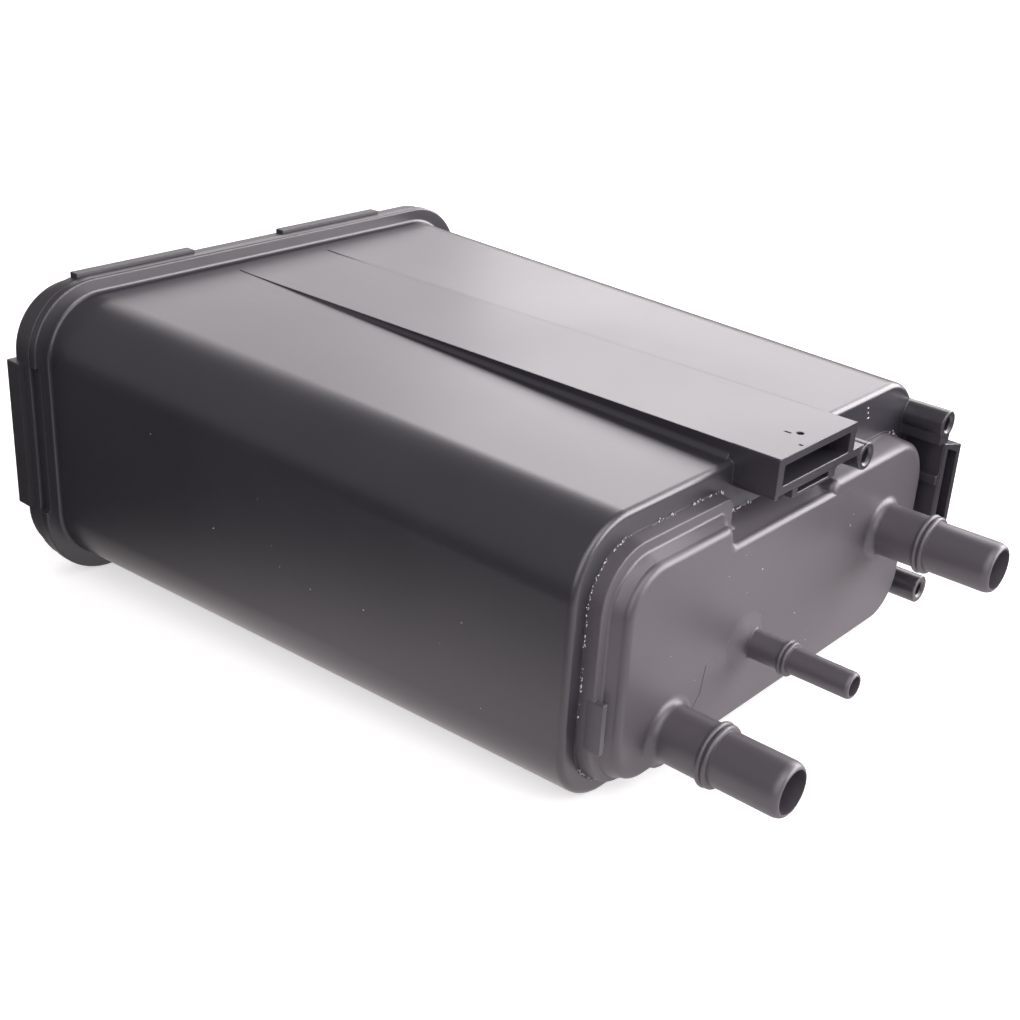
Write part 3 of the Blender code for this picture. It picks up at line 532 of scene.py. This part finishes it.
def bake(obj):
    """Turns the object's modifiers into its mesh, and keeps big flat faces flat."""
    bpy.context.view_layer.update()
    graph = bpy.context.evaluated_depsgraph_get()
    mesh = bpy.data.meshes.new_from_object(obj.evaluated_get(graph))
    obj.modifiers.clear()
    obj.data = mesh
    mesh.shade_smooth()
    mesh.set_sharp_from_angle(angle=SHARP_ANGLE)
    weighted = obj.modifiers.new("weighted normals", "WEIGHTED_NORMAL")
    weighted.keep_sharp = True
    weighted.weight = FLAT_FACE_WEIGHT
    return obj


def bracket_pieces():
    """Everything that is joined to the housing's front end."""
    root = HOUSING_LENGTH - SHOULDER_RADIUS - SOCKET_ROOT
    near = -RAIL_HALF_WIDTH
    back = MOUNT_PLANE - CHANNEL_LENGTH
    outline = channel_outline(WEB_Y[0] + 2 * GAP, CHANNEL_OUTER_Y)
    skin = half_width(back) - WALL / 2
    start = back - CHANNEL_TAPER
    gusset = [
        (start, channel_outline(skin, half_width(start), GAP)),
        (back + 2 * GAP, channel_outline(skin, CHANNEL_OUTER_Y, GAP)),
    ]
    cradle_x = (root + GAP, MOUNT_PLANE - GAP)
    cradle_y = (CRADLE_NEAR, RAIL_BOSS[0] - RAIL_BOSS[2] / 2)
    cradle_top = SOCKET_Z[0] - GAP
    web_x = (HOUSING_LENGTH - SHOULDER_RADIUS - WEB_ROOT, MOUNT_PLANE - GAP)
    rib_x = (web_x[0], MOUNT_PLANE - 2 * GAP)
    neck_y = (UPPER_BOSS[0] - NECK_NEAR, WEB_Y[1] - GAP)
    neck_z = (UPPER_BOSS[1] - NECK_DROP, UPPER_BOSS[1])
    pieces = [
        loft_helper("rail", [(x, rail_outline(x)) for x in RAIL_STATIONS]),
        block("socket_box", (root, MOUNT_PLANE), (near, -near), (SOCKET_BOTTOM, RAIL_TOP)),
        block("socket_cradle", cradle_x, cradle_y, (CRADLE_BOTTOM, cradle_top)),
        block("socket_foot", cradle_x, (near + GAP, near + FOOT_WIDTH), (FOOT_BOTTOM, cradle_top)),
        loft_helper("channel", [(back, outline), (MOUNT_PLANE, outline)]),
        loft_helper("channel_gusset", gusset),
        block("bracket_web", web_x, WEB_Y, WEB_Z),
        block("web_rib", rib_x, (RIB_Y, WEB_Y[1]), RIB_Z),
        block("boss_neck", (root, MOUNT_PLANE - GAP / 2), neck_y, neck_z),
    ]
    for name, boss in (("rail", RAIL_BOSS), ("upper", UPPER_BOSS), ("lower", LOWER_BOSS)):
        y, z, radius, depth = boss
        start = HOUSING_LENGTH - SHOULDER_RADIUS - depth
        profile = [(start, radius)]
        for along, inset in arc(EDGE, EDGE_STEPS):
            profile.append((MOUNT_PLANE - EDGE + along, radius - inset))
        pieces.append(turned_helper(f"{name}_boss", profile, (y, z)))
    return pieces


def housing_cutters():
    """Everything that is cut from the housing, apart from the round holes in the bosses."""
    front = (MOUNT_PLANE - SOCKET_DEPTH, MOUNT_PLANE + OVERRUN)
    slot_y = (-CRADLE_SLOT_HALF_WIDTH, CRADLE_SLOT_HALF_WIDTH)
    socket_y = (-SOCKET_HALF_WIDTH, SOCKET_HALF_WIDTH)
    arch_z = (CRADLE_BOTTOM - OVERRUN, CRADLE_ARCH_TOP)
    pocket = channel_outline(WEB_Y[0] + 2 * GAP, CHANNEL_OUTER_Y, CHANNEL_WALL)
    pocket_x = (MOUNT_PLANE - CHANNEL_DEPTH, MOUNT_PLANE + OVERRUN)
    recess_x = (RECESS_FLOOR, HOUSING_LENGTH + OVERLAP)
    cutters = [
        block("socket_pocket", front, socket_y, SOCKET_Z),
        block("cradle_slot", front, slot_y, CRADLE_SLOT),
        block("cradle_arch", front, CRADLE_ARCH, arch_z, CRADLE_ARCH_CORNER, FILLET_STEPS),
        loft_helper("channel_pocket", [(x, pocket) for x in pocket_x]),
        loft_helper("cap_recess", [(x, port_outline()) for x in recess_x]),
    ]
    nick_z = (RAIL_TOP - NICK_DEPTH, RAIL_TOP + OVERRUN)
    for index, (x, y) in enumerate(NICKS):
        cutters.append(block(f"nick_{index}", x, y, nick_z, NICK_EDGE))
    flat_x = (FLANGE_BACK - OVERRUN, ROOT_RADIUS)
    for side, name in ((-1, "near_flat"), (1, "far_flat")):
        inner = side * (FLANGE_HALF_WIDTH - FLANGE_FLAT_DEPTH)
        limits = sorted((inner, side * (FLANGE_HALF_WIDTH + OVERRUN)))
        cutters.append(block(name, flat_x, limits, SIDE_TAB_Z))
    return cutters


def build_housing():
    housing = new_object("housing_shell", loft_mesh("housing_shell", housing_sections()))
    for piece in bracket_pieces():
        combine(housing, piece, "UNION")
    for piece in housing_cutters():
        combine(housing, piece, "DIFFERENCE")
    drain_x = (SOCKET_Z[1] - OVERRUN / 2, RAIL_TOP + OVERRUN)
    profile = [(x, SOCKET_DRAIN_RADIUS) for x in drain_x]
    drain = turned_helper("socket_drain", profile, (0.0, 0.0))
    drain.rotation_euler = (0.0, -math.pi / 2, 0.0)
    drain.location = ORIGIN + Vector((SOCKET_DRAIN_X, 0.0, 0.0))
    combine(housing, drain, "DIFFERENCE")
    end = MOUNT_PLANE + OVERRUN
    holes = []
    sinks = []
    for y, z, radius, depth in (RAIL_BOSS, UPPER_BOSS, LOWER_BOSS):
        hole_x = (MOUNT_PLANE - BOSS_HOLE_DEPTH, end)
        holes.append((hole_x, (BOSS_HOLE_RADIUS, BOSS_HOLE_RADIUS), (y, z)))
        wide = BOSS_HOLE_RADIUS + COUNTERSINK + OVERRUN
        sink_x = (MOUNT_PLANE - COUNTERSINK, end)
        sinks.append((sink_x, (BOSS_HOLE_RADIUS, wide), (y, z)))
    drill(housing, "boss_holes", holes)
    drill(housing, "boss_countersinks", sinks)
    return bake(housing)


def stub_profile(length, stem, bead, radius, bead_centre, bead_width, root):
    """Outer line of a hose stub, with a root fillet, a double bead and a rounded nose."""
    points = [(PANEL_X - CAP_WALL / 2, stem + root)]
    for along, inset in arc(root):
        points.append((PANEL_X + inset, stem + root - along))
    back = PANEL_X + bead_centre - bead_width / 2
    lobe = bead_width / 4
    points.append((back, stem))
    for ridge, height in ((0, bead), (1, bead - lobe / 3)):
        centre = back + lobe * (1 + 2 * ridge)
        for step in range(BEAD_STEPS + 1):
            angle = math.pi * (step + 0.5) / (BEAD_STEPS + 1)
            x = centre - lobe * math.cos(angle)
            points.append((x, height - lobe + lobe * math.sin(angle)))
    points.append((back + bead_width, radius))
    nose = radius * NOSE_SHARE
    for along, inset in arc(nose):
        points.append((PANEL_X + length - nose + along, radius - inset * NOSE_INSET))
    return points


def swell_profile():
    """Low bell that spreads the foot of the purge stub over the panel."""
    points = [(PANEL_X - CAP_WALL / 2, SWELL_RADIUS)]
    for step in range(SWELL_STEPS):
        share = step / SWELL_STEPS
        rise = SWELL_RISE * (1 - math.cos(math.pi * share)) / 2
        points.append((PANEL_X - GAP / 4 + rise, SWELL_RADIUS * (1 - share)))
    return points


def far_top_inset(x):
    return GAP + (x - CAP_FRONT) * FAR_TOP_SLOPE


def cap_sections():
    """Weld plate, ledge and raised panel; the far part of the top has no ledge."""
    plate = port_outline(GAP, GAP, GAP)
    sections = [(CAP_BACK, plate), (CAP_FRONT, plate)]
    for along, inset in arc(LEDGE_EDGE, EDGE_STEPS):
        x = LEDGE_X - LEDGE_EDGE + along
        drawn_in = LEDGE_SLOPE + inset
        sections.append((x, port_outline(drawn_in, drawn_in, far_top_inset(x))))
    foot = LEDGE_SLOPE + LEDGE_EDGE + LEDGE_WIDTH
    base = LEDGE_SLOPE + 2 * LEDGE_EDGE
    for along, out in reversed(arc(PANEL_ROOT, EDGE_STEPS)):
        x = LEDGE_X + LEDGE_TILT + PANEL_ROOT - along
        sections.append((x, port_outline(foot - out, base, far_top_inset(x))))
    side = foot + PANEL_SLOPE
    for along, inset in arc(PANEL_EDGE):
        x = PANEL_X - PANEL_EDGE + along
        shelf = far_top_inset(PANEL_X - PANEL_EDGE) + inset
        sections.append((x, port_outline(side + inset, base + LEDGE_EDGE + inset, shelf)))
    return sections


def crown_sections():
    """The panel's raised far part, from the weld plate to just under the panel's face."""
    insets = [(CAP_FRONT - OVERLAP, 2 * GAP)]
    for along, inset in arc(PANEL_EDGE):
        insets.append((PANEL_X - LEDGE_TILT - PANEL_EDGE + along, CROWN_INSET + inset))
    sections = []
    for x, inset in insets:
        wide = PORT_END_HALF_WIDTH - inset
        top = PORT_END_TOP - STEP_DROP - inset
        corners = [
            (CROWN_Y + inset, CROWN_BOTTOM + inset, STEP_RADIUS),
            (wide, CROWN_BOTTOM + inset, STEP_RADIUS),
            (wide, top, CROWN_CORNER),
            (CROWN_Y + inset, top, STEP_RADIUS),
        ]
        sections.append((x, rounded_outline(corners)))
    return sections


def build_cap():
    cap = new_object("cap_shell", loft_mesh("cap_shell", cap_sections()))
    combine(cap, loft_helper("crown", crown_sections()), "UNION")
    tab_x = (LEDGE_X - CAP_TAB_ROOT, LEDGE_X + CAP_TAB_RISE)
    outer = PORT_END_HALF_WIDTH - 2 * GAP
    for side, name in ((-1, "near_tab"), (1, "far_tab")):
        limits = sorted((side * outer, side * (outer - CAP_TAB_THICKNESS)))
        combine(cap, block(name, tab_x, limits, CAP_TAB_Z), "UNION")
    combine(cap, turned_helper("purge_swell", swell_profile(), PURGE_SWELL), "UNION")
    bores = []
    for name, place, form, bore in (
        ("tank", TANK_PORT, LARGE_STUB, LARGE_BORE),
        ("air", AIR_PORT, LARGE_STUB, LARGE_BORE),
        ("purge", PURGE_PORT, SMALL_STUB, SMALL_BORE),
    ):
        combine(cap, turned_helper(f"{name}_stub", stub_profile(**form), place), "UNION")
        end = PANEL_X + form["length"]
        bores.append(((PANEL_X - CAP_WALL, end + OVERRUN), (bore, bore), place))
    drill(cap, "port_bores", bores)
    return bake(cap)


def cover_sections():
    sections = []
    for along, inset in reversed(arc(FLANGE_EDGE, EDGE_STEPS)):
        x = COVER_FRONT - FLANGE_EDGE + along
        sections.append((x, flange_outline(COVER_INSET + inset)))
    for along, inset in arc(FLANGE_EDGE, EDGE_STEPS):
        x = COVER_STEP + FLANGE_EDGE - along
        sections.append((x, flange_outline(COVER_INSET + inset)))
    pan = [(COVER_STEP, 0.0)]
    pan += [(COVER_BACK + PAN_EDGE - along, inset) for along, inset in arc(PAN_EDGE)]
    for x, inset in pan:
        wide = FLANGE_HALF_WIDTH - PAN_SIDE_STEP - inset
        tall = FLANGE_HALF_HEIGHT - PAN_TOP_STEP - inset
        corners = box_corners(-wide, wide, -tall, tall, FLANGE_CORNER - PAN_TOP_STEP - inset)
        sections.append((x, rounded_outline(corners)))
    return sections


def cover_tabs():
    """Tabs above, below and on both sides, the side ones running back over the pan."""
    side_x = (COVER_BACK + SIDE_TAB_SETBACK, COVER_STEP + FLANGE_EDGE)
    tabs = []
    for side, name in ((-1, "cover_near_tab"), (1, "cover_far_tab")):
        inner = side * (FLANGE_HALF_WIDTH - PAN_SIDE_STEP - PAN_WALL / 2)
        limits = sorted((inner, side * (FLANGE_HALF_WIDTH + SIDE_TAB_RISE)))
        tabs.append(block(name, side_x, limits, SIDE_TAB_Z))
    top_x = (COVER_STEP + FLANGE_EDGE / 2, COVER_FRONT - FLANGE_EDGE / 2)
    for side, level in ((1, "top"), (-1, "bottom")):
        for index, span in enumerate(TOP_TABS):
            inner = side * (FLANGE_HALF_HEIGHT - PAN_TOP_STEP - PAN_WALL / 2)
            limits = sorted((inner, side * (FLANGE_HALF_HEIGHT + TOP_TAB_RISE)))
            tabs.append(block(f"cover_{level}_tab_{index}", top_x, span, limits))
    return tabs


def cover_sinks():
    """Shallow panels in the back of the cover, with ribs between them."""
    columns, rows = COVER_PANELS
    wide = FLANGE_HALF_WIDTH - PAN_SIDE_STEP - PAN_EDGE - COVER_PANEL_RIB
    tall = FLANGE_HALF_HEIGHT - PAN_TOP_STEP - PAN_EDGE - COVER_PANEL_RIB
    margin = COVER_PANEL_RIB / 2
    x = (COVER_BACK - OVERRUN, COVER_BACK + COVER_PANEL_DEPTH)
    sinks = []
    for column in range(columns):
        left = -wide + 2 * wide * column / columns
        y = (left + margin, left + 2 * wide / columns - margin)
        for row in range(rows):
            base = -tall + 2 * tall * row / rows
            z = (base + margin, base + 2 * tall / rows - margin)
            name = f"cover_panel_{column}_{row}"
            sinks.append(block(name, x, y, z, COVER_PANEL_CORNER, CORNER_STEPS))
    return sinks


def build_cover():
    cover = new_object("cover_shell", loft_mesh("cover_shell", cover_sections()))
    for tab in cover_tabs():
        combine(cover, tab, "UNION")
    for sink in cover_sinks():
        combine(cover, sink, "DIFFERENCE")
    return bake(cover)


def resampled(line, closed):
    """Points at even steps along a line, so that it can vary in thickness."""
    ends = line[1:] + line[:1] if closed else line[1:]
    points = []
    for start, end in zip(line, ends):
        count = max(1, round((end - start).length / FLASH_STEP))
        points += [start.lerp(end, step / count) for step in range(count)]
    return points if closed else points + [line[-1]]


def add_ridge(bm, x, line, closed, radii):
    """Thin ridge along a line in the plane at x, uneven between two radii."""
    points = resampled(line, closed)
    rings = []
    for index, point in enumerate(points):
        before = points[index - 1] if closed or index else point
        after = points[(index + 1) % len(points)] if closed or point != points[-1] else point
        side = (after - before).orthogonal().normalized()
        level = noise.noise(Vector((point.x, point.y, x)) / FLASH_PITCH)
        radius = radii[0] + (radii[1] - radii[0]) * (level + 1) / 2
        ring = []
        for step in range(FLASH_SIDES):
            angle = 2 * math.pi * step / FLASH_SIDES
            place = point + side * radius * math.cos(angle)
            ring.append(bm.verts.new((x + radius * math.sin(angle), *place)))
        rings.append(ring)
    followers = rings[1:] + rings[:1] if closed else rings[1:]
    for ring, following in zip(rings, followers):
        join(bm, ring, following)
    if not closed:
        bm.faces.new(rings[0])
        bm.faces.new(rings[-1])
    bmesh.ops.recalc_face_normals(bm, faces=bm.faces)


def add_crumb(bm, place, radius, chance):
    """Small lump, stretched by chance in a direction across X."""
    turn = Matrix.Rotation(chance.uniform(0, math.pi), 4, "X")
    size = Matrix.Diagonal((radius, radius * chance.uniform(*CRUMB_STRETCH), radius, 1.0))
    matrix = Matrix.Translation(place) @ turn @ size
    bmesh.ops.create_icosphere(bm, subdivisions=1, radius=1.0, matrix=matrix)


def cap_seam():
    return port_outline(GAP / 2, GAP / 2, GAP / 2)


def build_flash():
    """Dark squeezed-out ridge along each weld seam."""
    bm = bmesh.new()
    add_ridge(bm, HOUSING_LENGTH - GAP / 2, cap_seam(), True, FLASH_RADII)
    add_ridge(bm, FLANGE_BACK - GAP / 2, flange_outline(COVER_INSET), True, FLASH_RADII)
    return new_object("weld_flash", new_mesh("weld_flash", bm))


def build_crumbs():
    """Pale crumbs that cling to the cap's seam in clusters, and specks of dust."""
    chance = random.Random(SEED)
    bm = bmesh.new()
    seam = resampled(cap_seam(), True)
    for _ in range(CRUMB_COUNT):
        point = chance.choice(seam)
        if noise.noise(Vector((HOUSING_LENGTH, point.x, point.y)) / CRUMB_PITCH) < CRUMB_LEVEL:
            continue
        y = point.x + chance.gauss(0.0, CRUMB_SPREAD)
        place = (HOUSING_LENGTH + GAP, y, point.y + chance.gauss(0.0, CRUMB_SPREAD))
        add_crumb(bm, place, chance.uniform(*CRUMB_RADII), chance)
    for _ in range(DUST_ON_PANEL):
        y = chance.uniform(*DUST_PANEL_Y)
        place = (PANEL_X, y, chance.uniform(*DUST_PANEL_Z))
        add_crumb(bm, place, chance.uniform(*DUST_RADII), chance)
    for _ in range(DUST_ON_SIDE):
        x = chance.uniform(*DUST_SIDE_X)
        place = (x, -half_width(x), chance.uniform(*DUST_SIDE_Z))
        add_crumb(bm, place, chance.uniform(*DUST_RADII), chance)
    for place in SPECKS:
        add_crumb(bm, (HOUSING_LENGTH, *place), chance.uniform(*SPECK_RADII), chance)
    return new_object("seam_crumbs", new_mesh("seam_crumbs", bm))


def build_mould_line():
    """Witness line of the mould's insert across the panel."""
    bm = bmesh.new()
    line = [Vector(point) for point in MOULD_LINE]
    radii = (MOULD_LINE_RADIUS, MOULD_LINE_RADIUS)
    add_ridge(bm, PANEL_X, line, False, radii)
    return new_object("mould_line", new_mesh("mould_line", bm))


def link(tree, source, target, socket):
    tree.links.new(source, target.inputs[socket])


def add_node(tree, kind, **values):
    """Adds a node and sets its properties and the defaults of its sockets."""
    node = tree.nodes.new(kind)
    for name, value in values.items():
        if name in node.inputs:
            node.inputs[name].default_value = value
        else:
            setattr(node, name, value)
    return node


def map_range(tree, source, before, after):
    node = add_node(tree, "ShaderNodeMapRange")
    node.inputs["From Min"].default_value = before[0]
    node.inputs["From Max"].default_value = before[1]
    node.inputs["To Min"].default_value = after[0]
    node.inputs["To Max"].default_value = after[1]
    link(tree, source, node, "Value")
    return node.outputs["Result"]


def new_material(name):
    material = bpy.data.materials.new(name)
    material.use_nodes = True
    return material, material.node_tree, material.node_tree.nodes["Principled BSDF"]


def tinted(tree, source, colour, spread, stops):
    """Colour that wanders by the given share on both sides of the written one."""
    ramp = add_node(tree, "ShaderNodeValToRGB")
    for element, stop, share in zip(ramp.color_ramp.elements, stops, (1 - spread, 1 + spread)):
        element.position = stop
        element.color = (*(share * channel for channel in colour), 1.0)
    link(tree, source, ramp, "Fac")
    return ramp.outputs["Color"]


def moulded_plastic(name, colour, roughness, edge=WORN_EDGE):
    """Satin moulded plastic: fine grain, faint handling marks and worn, rounded edges."""
    material, tree, shader = new_material(name)
    place = add_node(tree, "ShaderNodeTexCoord")
    cloud = add_node(tree, "ShaderNodeTexNoise", Scale=CLOUD_SCALE, Detail=CLOUD_DETAIL)
    fine = add_node(tree, "ShaderNodeTexNoise", Scale=GRAIN_SCALE, Detail=GRAIN_DETAIL)
    link(tree, place.outputs["Object"], cloud, "Vector")
    link(tree, place.outputs["Object"], fine, "Vector")
    tint = tinted(tree, cloud.outputs["Fac"], colour, CLOUD_TINT, CLOUD_STOPS)
    link(tree, tint, shader, "Base Color")
    shader.inputs["Specular IOR Level"].default_value = GLOSS_LEVEL
    steps = (roughness - GLOSS_SPREAD, roughness + GLOSS_SPREAD)
    gloss = map_range(tree, cloud.outputs["Fac"], CLOUD_RANGE, steps)
    link(tree, gloss, shader, "Roughness")
    rounding = add_node(tree, "ShaderNodeBevel", samples=BEVEL_SAMPLES, Radius=edge)
    bump = add_node(tree, "ShaderNodeBump", Strength=GRAIN_STRENGTH, Distance=GRAIN_DEPTH)
    link(tree, fine.outputs["Fac"], bump, "Height")
    link(tree, rounding.outputs["Normal"], bump, "Normal")
    link(tree, bump.outputs["Normal"], shader, "Normal")
    return material


def grained(name, colour, roughness, scale, relief, metallic=0.0):
    """Felt, granules or drawn wire: cells or fibres of one size over a tinted body."""
    material, tree, shader = new_material(name)
    shader.inputs["Metallic"].default_value = metallic
    place = add_node(tree, "ShaderNodeTexCoord")
    cells = add_node(tree, "ShaderNodeTexVoronoi", Scale=scale)
    wander_scale = scale * WANDER_SHARE
    wander = add_node(tree, "ShaderNodeTexNoise", Scale=wander_scale, Detail=WANDER_DETAIL)
    link(tree, place.outputs["Object"], cells, "Vector")
    link(tree, place.outputs["Object"], wander, "Vector")
    tint = tinted(tree, wander.outputs["Fac"], colour, CELL_TINT, CELL_RANGE)
    link(tree, tint, shader, "Base Color")
    steps = (roughness - CELL_GLOSS_SPREAD, roughness + CELL_GLOSS_SPREAD)
    gloss = map_range(tree, wander.outputs["Fac"], CELL_RANGE, steps)
    link(tree, gloss, shader, "Roughness")
    bump = add_node(tree, "ShaderNodeBump", Strength=CELL_STRENGTH, Distance=relief)
    link(tree, cells.outputs["Distance"], bump, "Height")
    link(tree, bump.outputs["Normal"], shader, "Normal")
    return material


def dress(obj, material, nodes=()):
    """Material and body of a visible piece, and the CAD nodes that it replaces."""
    obj.data.materials.clear()
    obj.data.materials.append(material)
    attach(obj, "root")
    if nodes:
        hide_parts(*nodes)


def dress_inner_nodes():
    """Materials for the CAD pieces inside, told apart by the ends of their names."""
    plastic = moulded_plastic("inner_plastic_look", (0.12, 0.12, 0.12), 0.55)
    felt = grained("filter_felt_look", (0.45, 0.44, 0.40), 0.90, 1400.0, 0.0003)
    carbon = grained("carbon_look", (0.012, 0.012, 0.013), 0.85, 700.0, 0.0006)
    steel = grained("spring_steel_look", (0.45, 0.45, 0.46), 0.30, 2200.0, 0.00002, 1.0)
    kinds = {"grid": plastic, "plate": plastic, "pad": felt, "bed": carbon}
    for node, obj in frame["nodes"].items():
        ending = node.split("_")[-1]
        material = steel if ending.isdigit() else kinds.get(ending)
        if material:
            obj.data.materials.clear()
            obj.data.materials.append(material)


def add_camera():
    """Camera at the photograph's angle, built from its azimuth, elevation and roll."""
    back = Vector(
        (
            math.sin(CAMERA_AZIMUTH) * math.cos(CAMERA_ELEVATION),
            -math.cos(CAMERA_AZIMUTH) * math.cos(CAMERA_ELEVATION),
            math.sin(CAMERA_ELEVATION),
        )
    )
    right = Vector((math.cos(CAMERA_AZIMUTH), math.sin(CAMERA_AZIMUTH), 0.0))
    up = back.cross(right)
    rolled_right = math.cos(CAMERA_ROLL) * right + math.sin(CAMERA_ROLL) * up
    rolled_up = math.cos(CAMERA_ROLL) * up - math.sin(CAMERA_ROLL) * right
    data = bpy.data.cameras.new("photo_camera")
    data.sensor_width = SENSOR_WIDTH
    data.lens = FOCAL_PIXELS * SENSOR_WIDTH / IMAGE_SIZE
    data.clip_start = NEAR_CLIP
    camera = bpy.data.objects.new("photo_camera", data)
    bpy.context.scene.collection.objects.link(camera)
    turn = Matrix((rolled_right, rolled_up, back)).transposed()
    camera.matrix_world = Matrix.Translation(ORIGIN + CAMERA_EYE) @ turn.to_4x4()
    bpy.context.scene.camera = camera


def radial_glow(tree, centre, stretch, reach, levels, colour):
    """Emission that changes with the stretched distance from a place on the floor."""
    place = add_node(tree, "ShaderNodeTexCoord")
    offset = add_node(tree, "ShaderNodeVectorMath", operation="SUBTRACT")
    offset.inputs[1].default_value = centre
    link(tree, place.outputs["Object"], offset, 0)
    scaled = add_node(tree, "ShaderNodeVectorMath", operation="MULTIPLY")
    scaled.inputs[1].default_value = stretch
    link(tree, offset.outputs["Vector"], scaled, 0)
    distance = add_node(tree, "ShaderNodeVectorMath", operation="LENGTH")
    link(tree, scaled.outputs["Vector"], distance, 0)
    glow = add_node(tree, "ShaderNodeEmission")
    glow.inputs["Color"].default_value = colour
    level = map_range(tree, distance.outputs["Value"], reach, levels)
    link(tree, level, glow, "Strength")
    return glow.outputs["Emission"]


def floor_material():
    """Pale floor that keeps its shadow and shows near white to the camera.

    Reflections see it white beside the near end of the canister and dim further off.
    """
    material, tree, shader = new_material("pale_floor")
    shader.inputs["Base Color"].default_value = FLOOR_COLOUR
    shader.inputs["Roughness"].default_value = FLOOR_ROUGHNESS
    shader.inputs["Specular IOR Level"].default_value = 0.0
    rays = add_node(tree, "ShaderNodeLightPath")
    lit = add_node(tree, "ShaderNodeAddShader")
    link(tree, shader.outputs["BSDF"], lit, 0)
    round_glow = (FLOOR_GLOW_CENTRE, FLOOR_GLOW_STRETCH, FLOOR_SHADOW_REACH, FLOOR_GLOW, WHITE)
    link(tree, radial_glow(tree, *round_glow), lit, 1)
    sheen_form = (SHEEN_CENTRE, SHEEN_STRETCH, SHEEN_REACH, SHEEN, SHEEN_COLOUR)
    sheen = radial_glow(tree, *sheen_form)
    surface = shader.outputs["BSDF"]
    for ray, other in (("Is Camera Ray", lit.outputs["Shader"]), ("Is Glossy Ray", sheen)):
        mix = add_node(tree, "ShaderNodeMixShader")
        link(tree, rays.outputs[ray], mix, 0)
        link(tree, surface, mix, 1)
        link(tree, other, mix, 2)
        surface = mix.outputs["Shader"]
    link(tree, surface, tree.nodes["Material Output"], "Surface")
    return material


def add_floor():
    """The canister lies on its cover's lower tabs and the low edge of its port end."""
    rear_touch = Vector((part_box("rear_cover")[0].x, 0.0, 0.0))
    front_x = HOUSING_LENGTH - SHOULDER_RADIUS
    front_touch = ORIGIN + Vector((front_x, 0.0, -half_height(HOUSING_LENGTH)))
    half = FLOOR_SIZE / 2
    mesh = bpy.data.meshes.new("floor")
    corners = [(-half, -half, 0), (half, -half, 0), (half, half, 0), (-half, half, 0)]
    mesh.from_pydata(corners, [], [(0, 1, 2, 3)])
    mesh.materials.append(floor_material())
    floor = bpy.data.objects.new("floor", mesh)
    bpy.context.scene.collection.objects.link(floor)
    floor.location = rear_touch
    slope = math.atan2(front_touch.z, front_touch.x - rear_touch.x)
    floor.rotation_euler = (0.0, -slope, 0.0)


def add_softbox(name, place, size, radiance):
    """Softbox that faces the canister, its power worked out from its brightness."""
    data = bpy.data.lights.new(name, "AREA")
    data.shape = "RECTANGLE"
    data.size, data.size_y = size
    data.energy = math.pi * size[0] * size[1] * radiance
    data.color = LAMP_COLOUR
    obj = bpy.data.objects.new(name, data)
    bpy.context.scene.collection.objects.link(obj)
    obj.location = place
    obj.rotation_euler = (LAMP_TARGET - obj.location).to_track_quat("-Z", "Y").to_euler()
    obj.visible_camera = False


def add_world():
    """Even fill that falls on things; the camera sees plain white instead."""
    world = bpy.data.worlds.new("studio")
    bpy.context.scene.world = world
    world.use_nodes = True
    tree = world.node_tree
    around = tree.nodes["Background"]
    around.inputs["Color"].default_value = (*LAMP_COLOUR, 1.0)
    around.inputs["Strength"].default_value = WORLD_STRENGTH
    white = add_node(tree, "ShaderNodeBackground", Strength=1.0)
    white.inputs["Color"].default_value = WHITE
    rays = add_node(tree, "ShaderNodeLightPath")
    mix = add_node(tree, "ShaderNodeMixShader")
    link(tree, rays.outputs["Is Camera Ray"], mix, 0)
    link(tree, around.outputs["Background"], mix, 1)
    link(tree, white.outputs["Background"], mix, 2)
    link(tree, mix.outputs["Shader"], tree.nodes["World Output"], "Surface")


HOUSING_PLASTIC = moulded_plastic("housing_plastic", (0.023, 0.021, 0.028), 0.32, BRIGHT_EDGE)
# The cap's colour is partly its own slightly greyer plastic and partly painted light: its base
# colour is raised to stand in for light falling on the cap from the low right.
CAP_PLASTIC_WITH_PAINTED_LIGHT = moulded_plastic("cap_plastic", (0.058, 0.050, 0.061), 0.44)
COVER_PLASTIC = moulded_plastic("cover_plastic", (0.024, 0.023, 0.029), 0.46)
FLASH_PLASTIC = moulded_plastic("flash_plastic", (0.050, 0.046, 0.052), 0.40)
CRUMB_PLASTIC = grained("crumb_plastic", (0.55, 0.52, 0.56), 0.60, 3000.0, 0.00005)

dress(build_housing(), HOUSING_PLASTIC, ["canister_housing"])
dress(build_cap(), CAP_PLASTIC_WITH_PAINTED_LIGHT, ["port_cap"])
dress(build_cover(), COVER_PLASTIC, ["rear_cover"])
dress(build_flash(), FLASH_PLASTIC)
dress(build_crumbs(), CRUMB_PLASTIC)
dress(build_mould_line(), FLASH_PLASTIC)
dress_inner_nodes()
for old in list(HELPERS.objects):
    bpy.data.objects.remove(old)

add_camera()
add_floor()
for softbox in SOFTBOXES:
    add_softbox(*softbox)
add_world()
bpy.context.scene.view_settings.view_transform = "Standard"
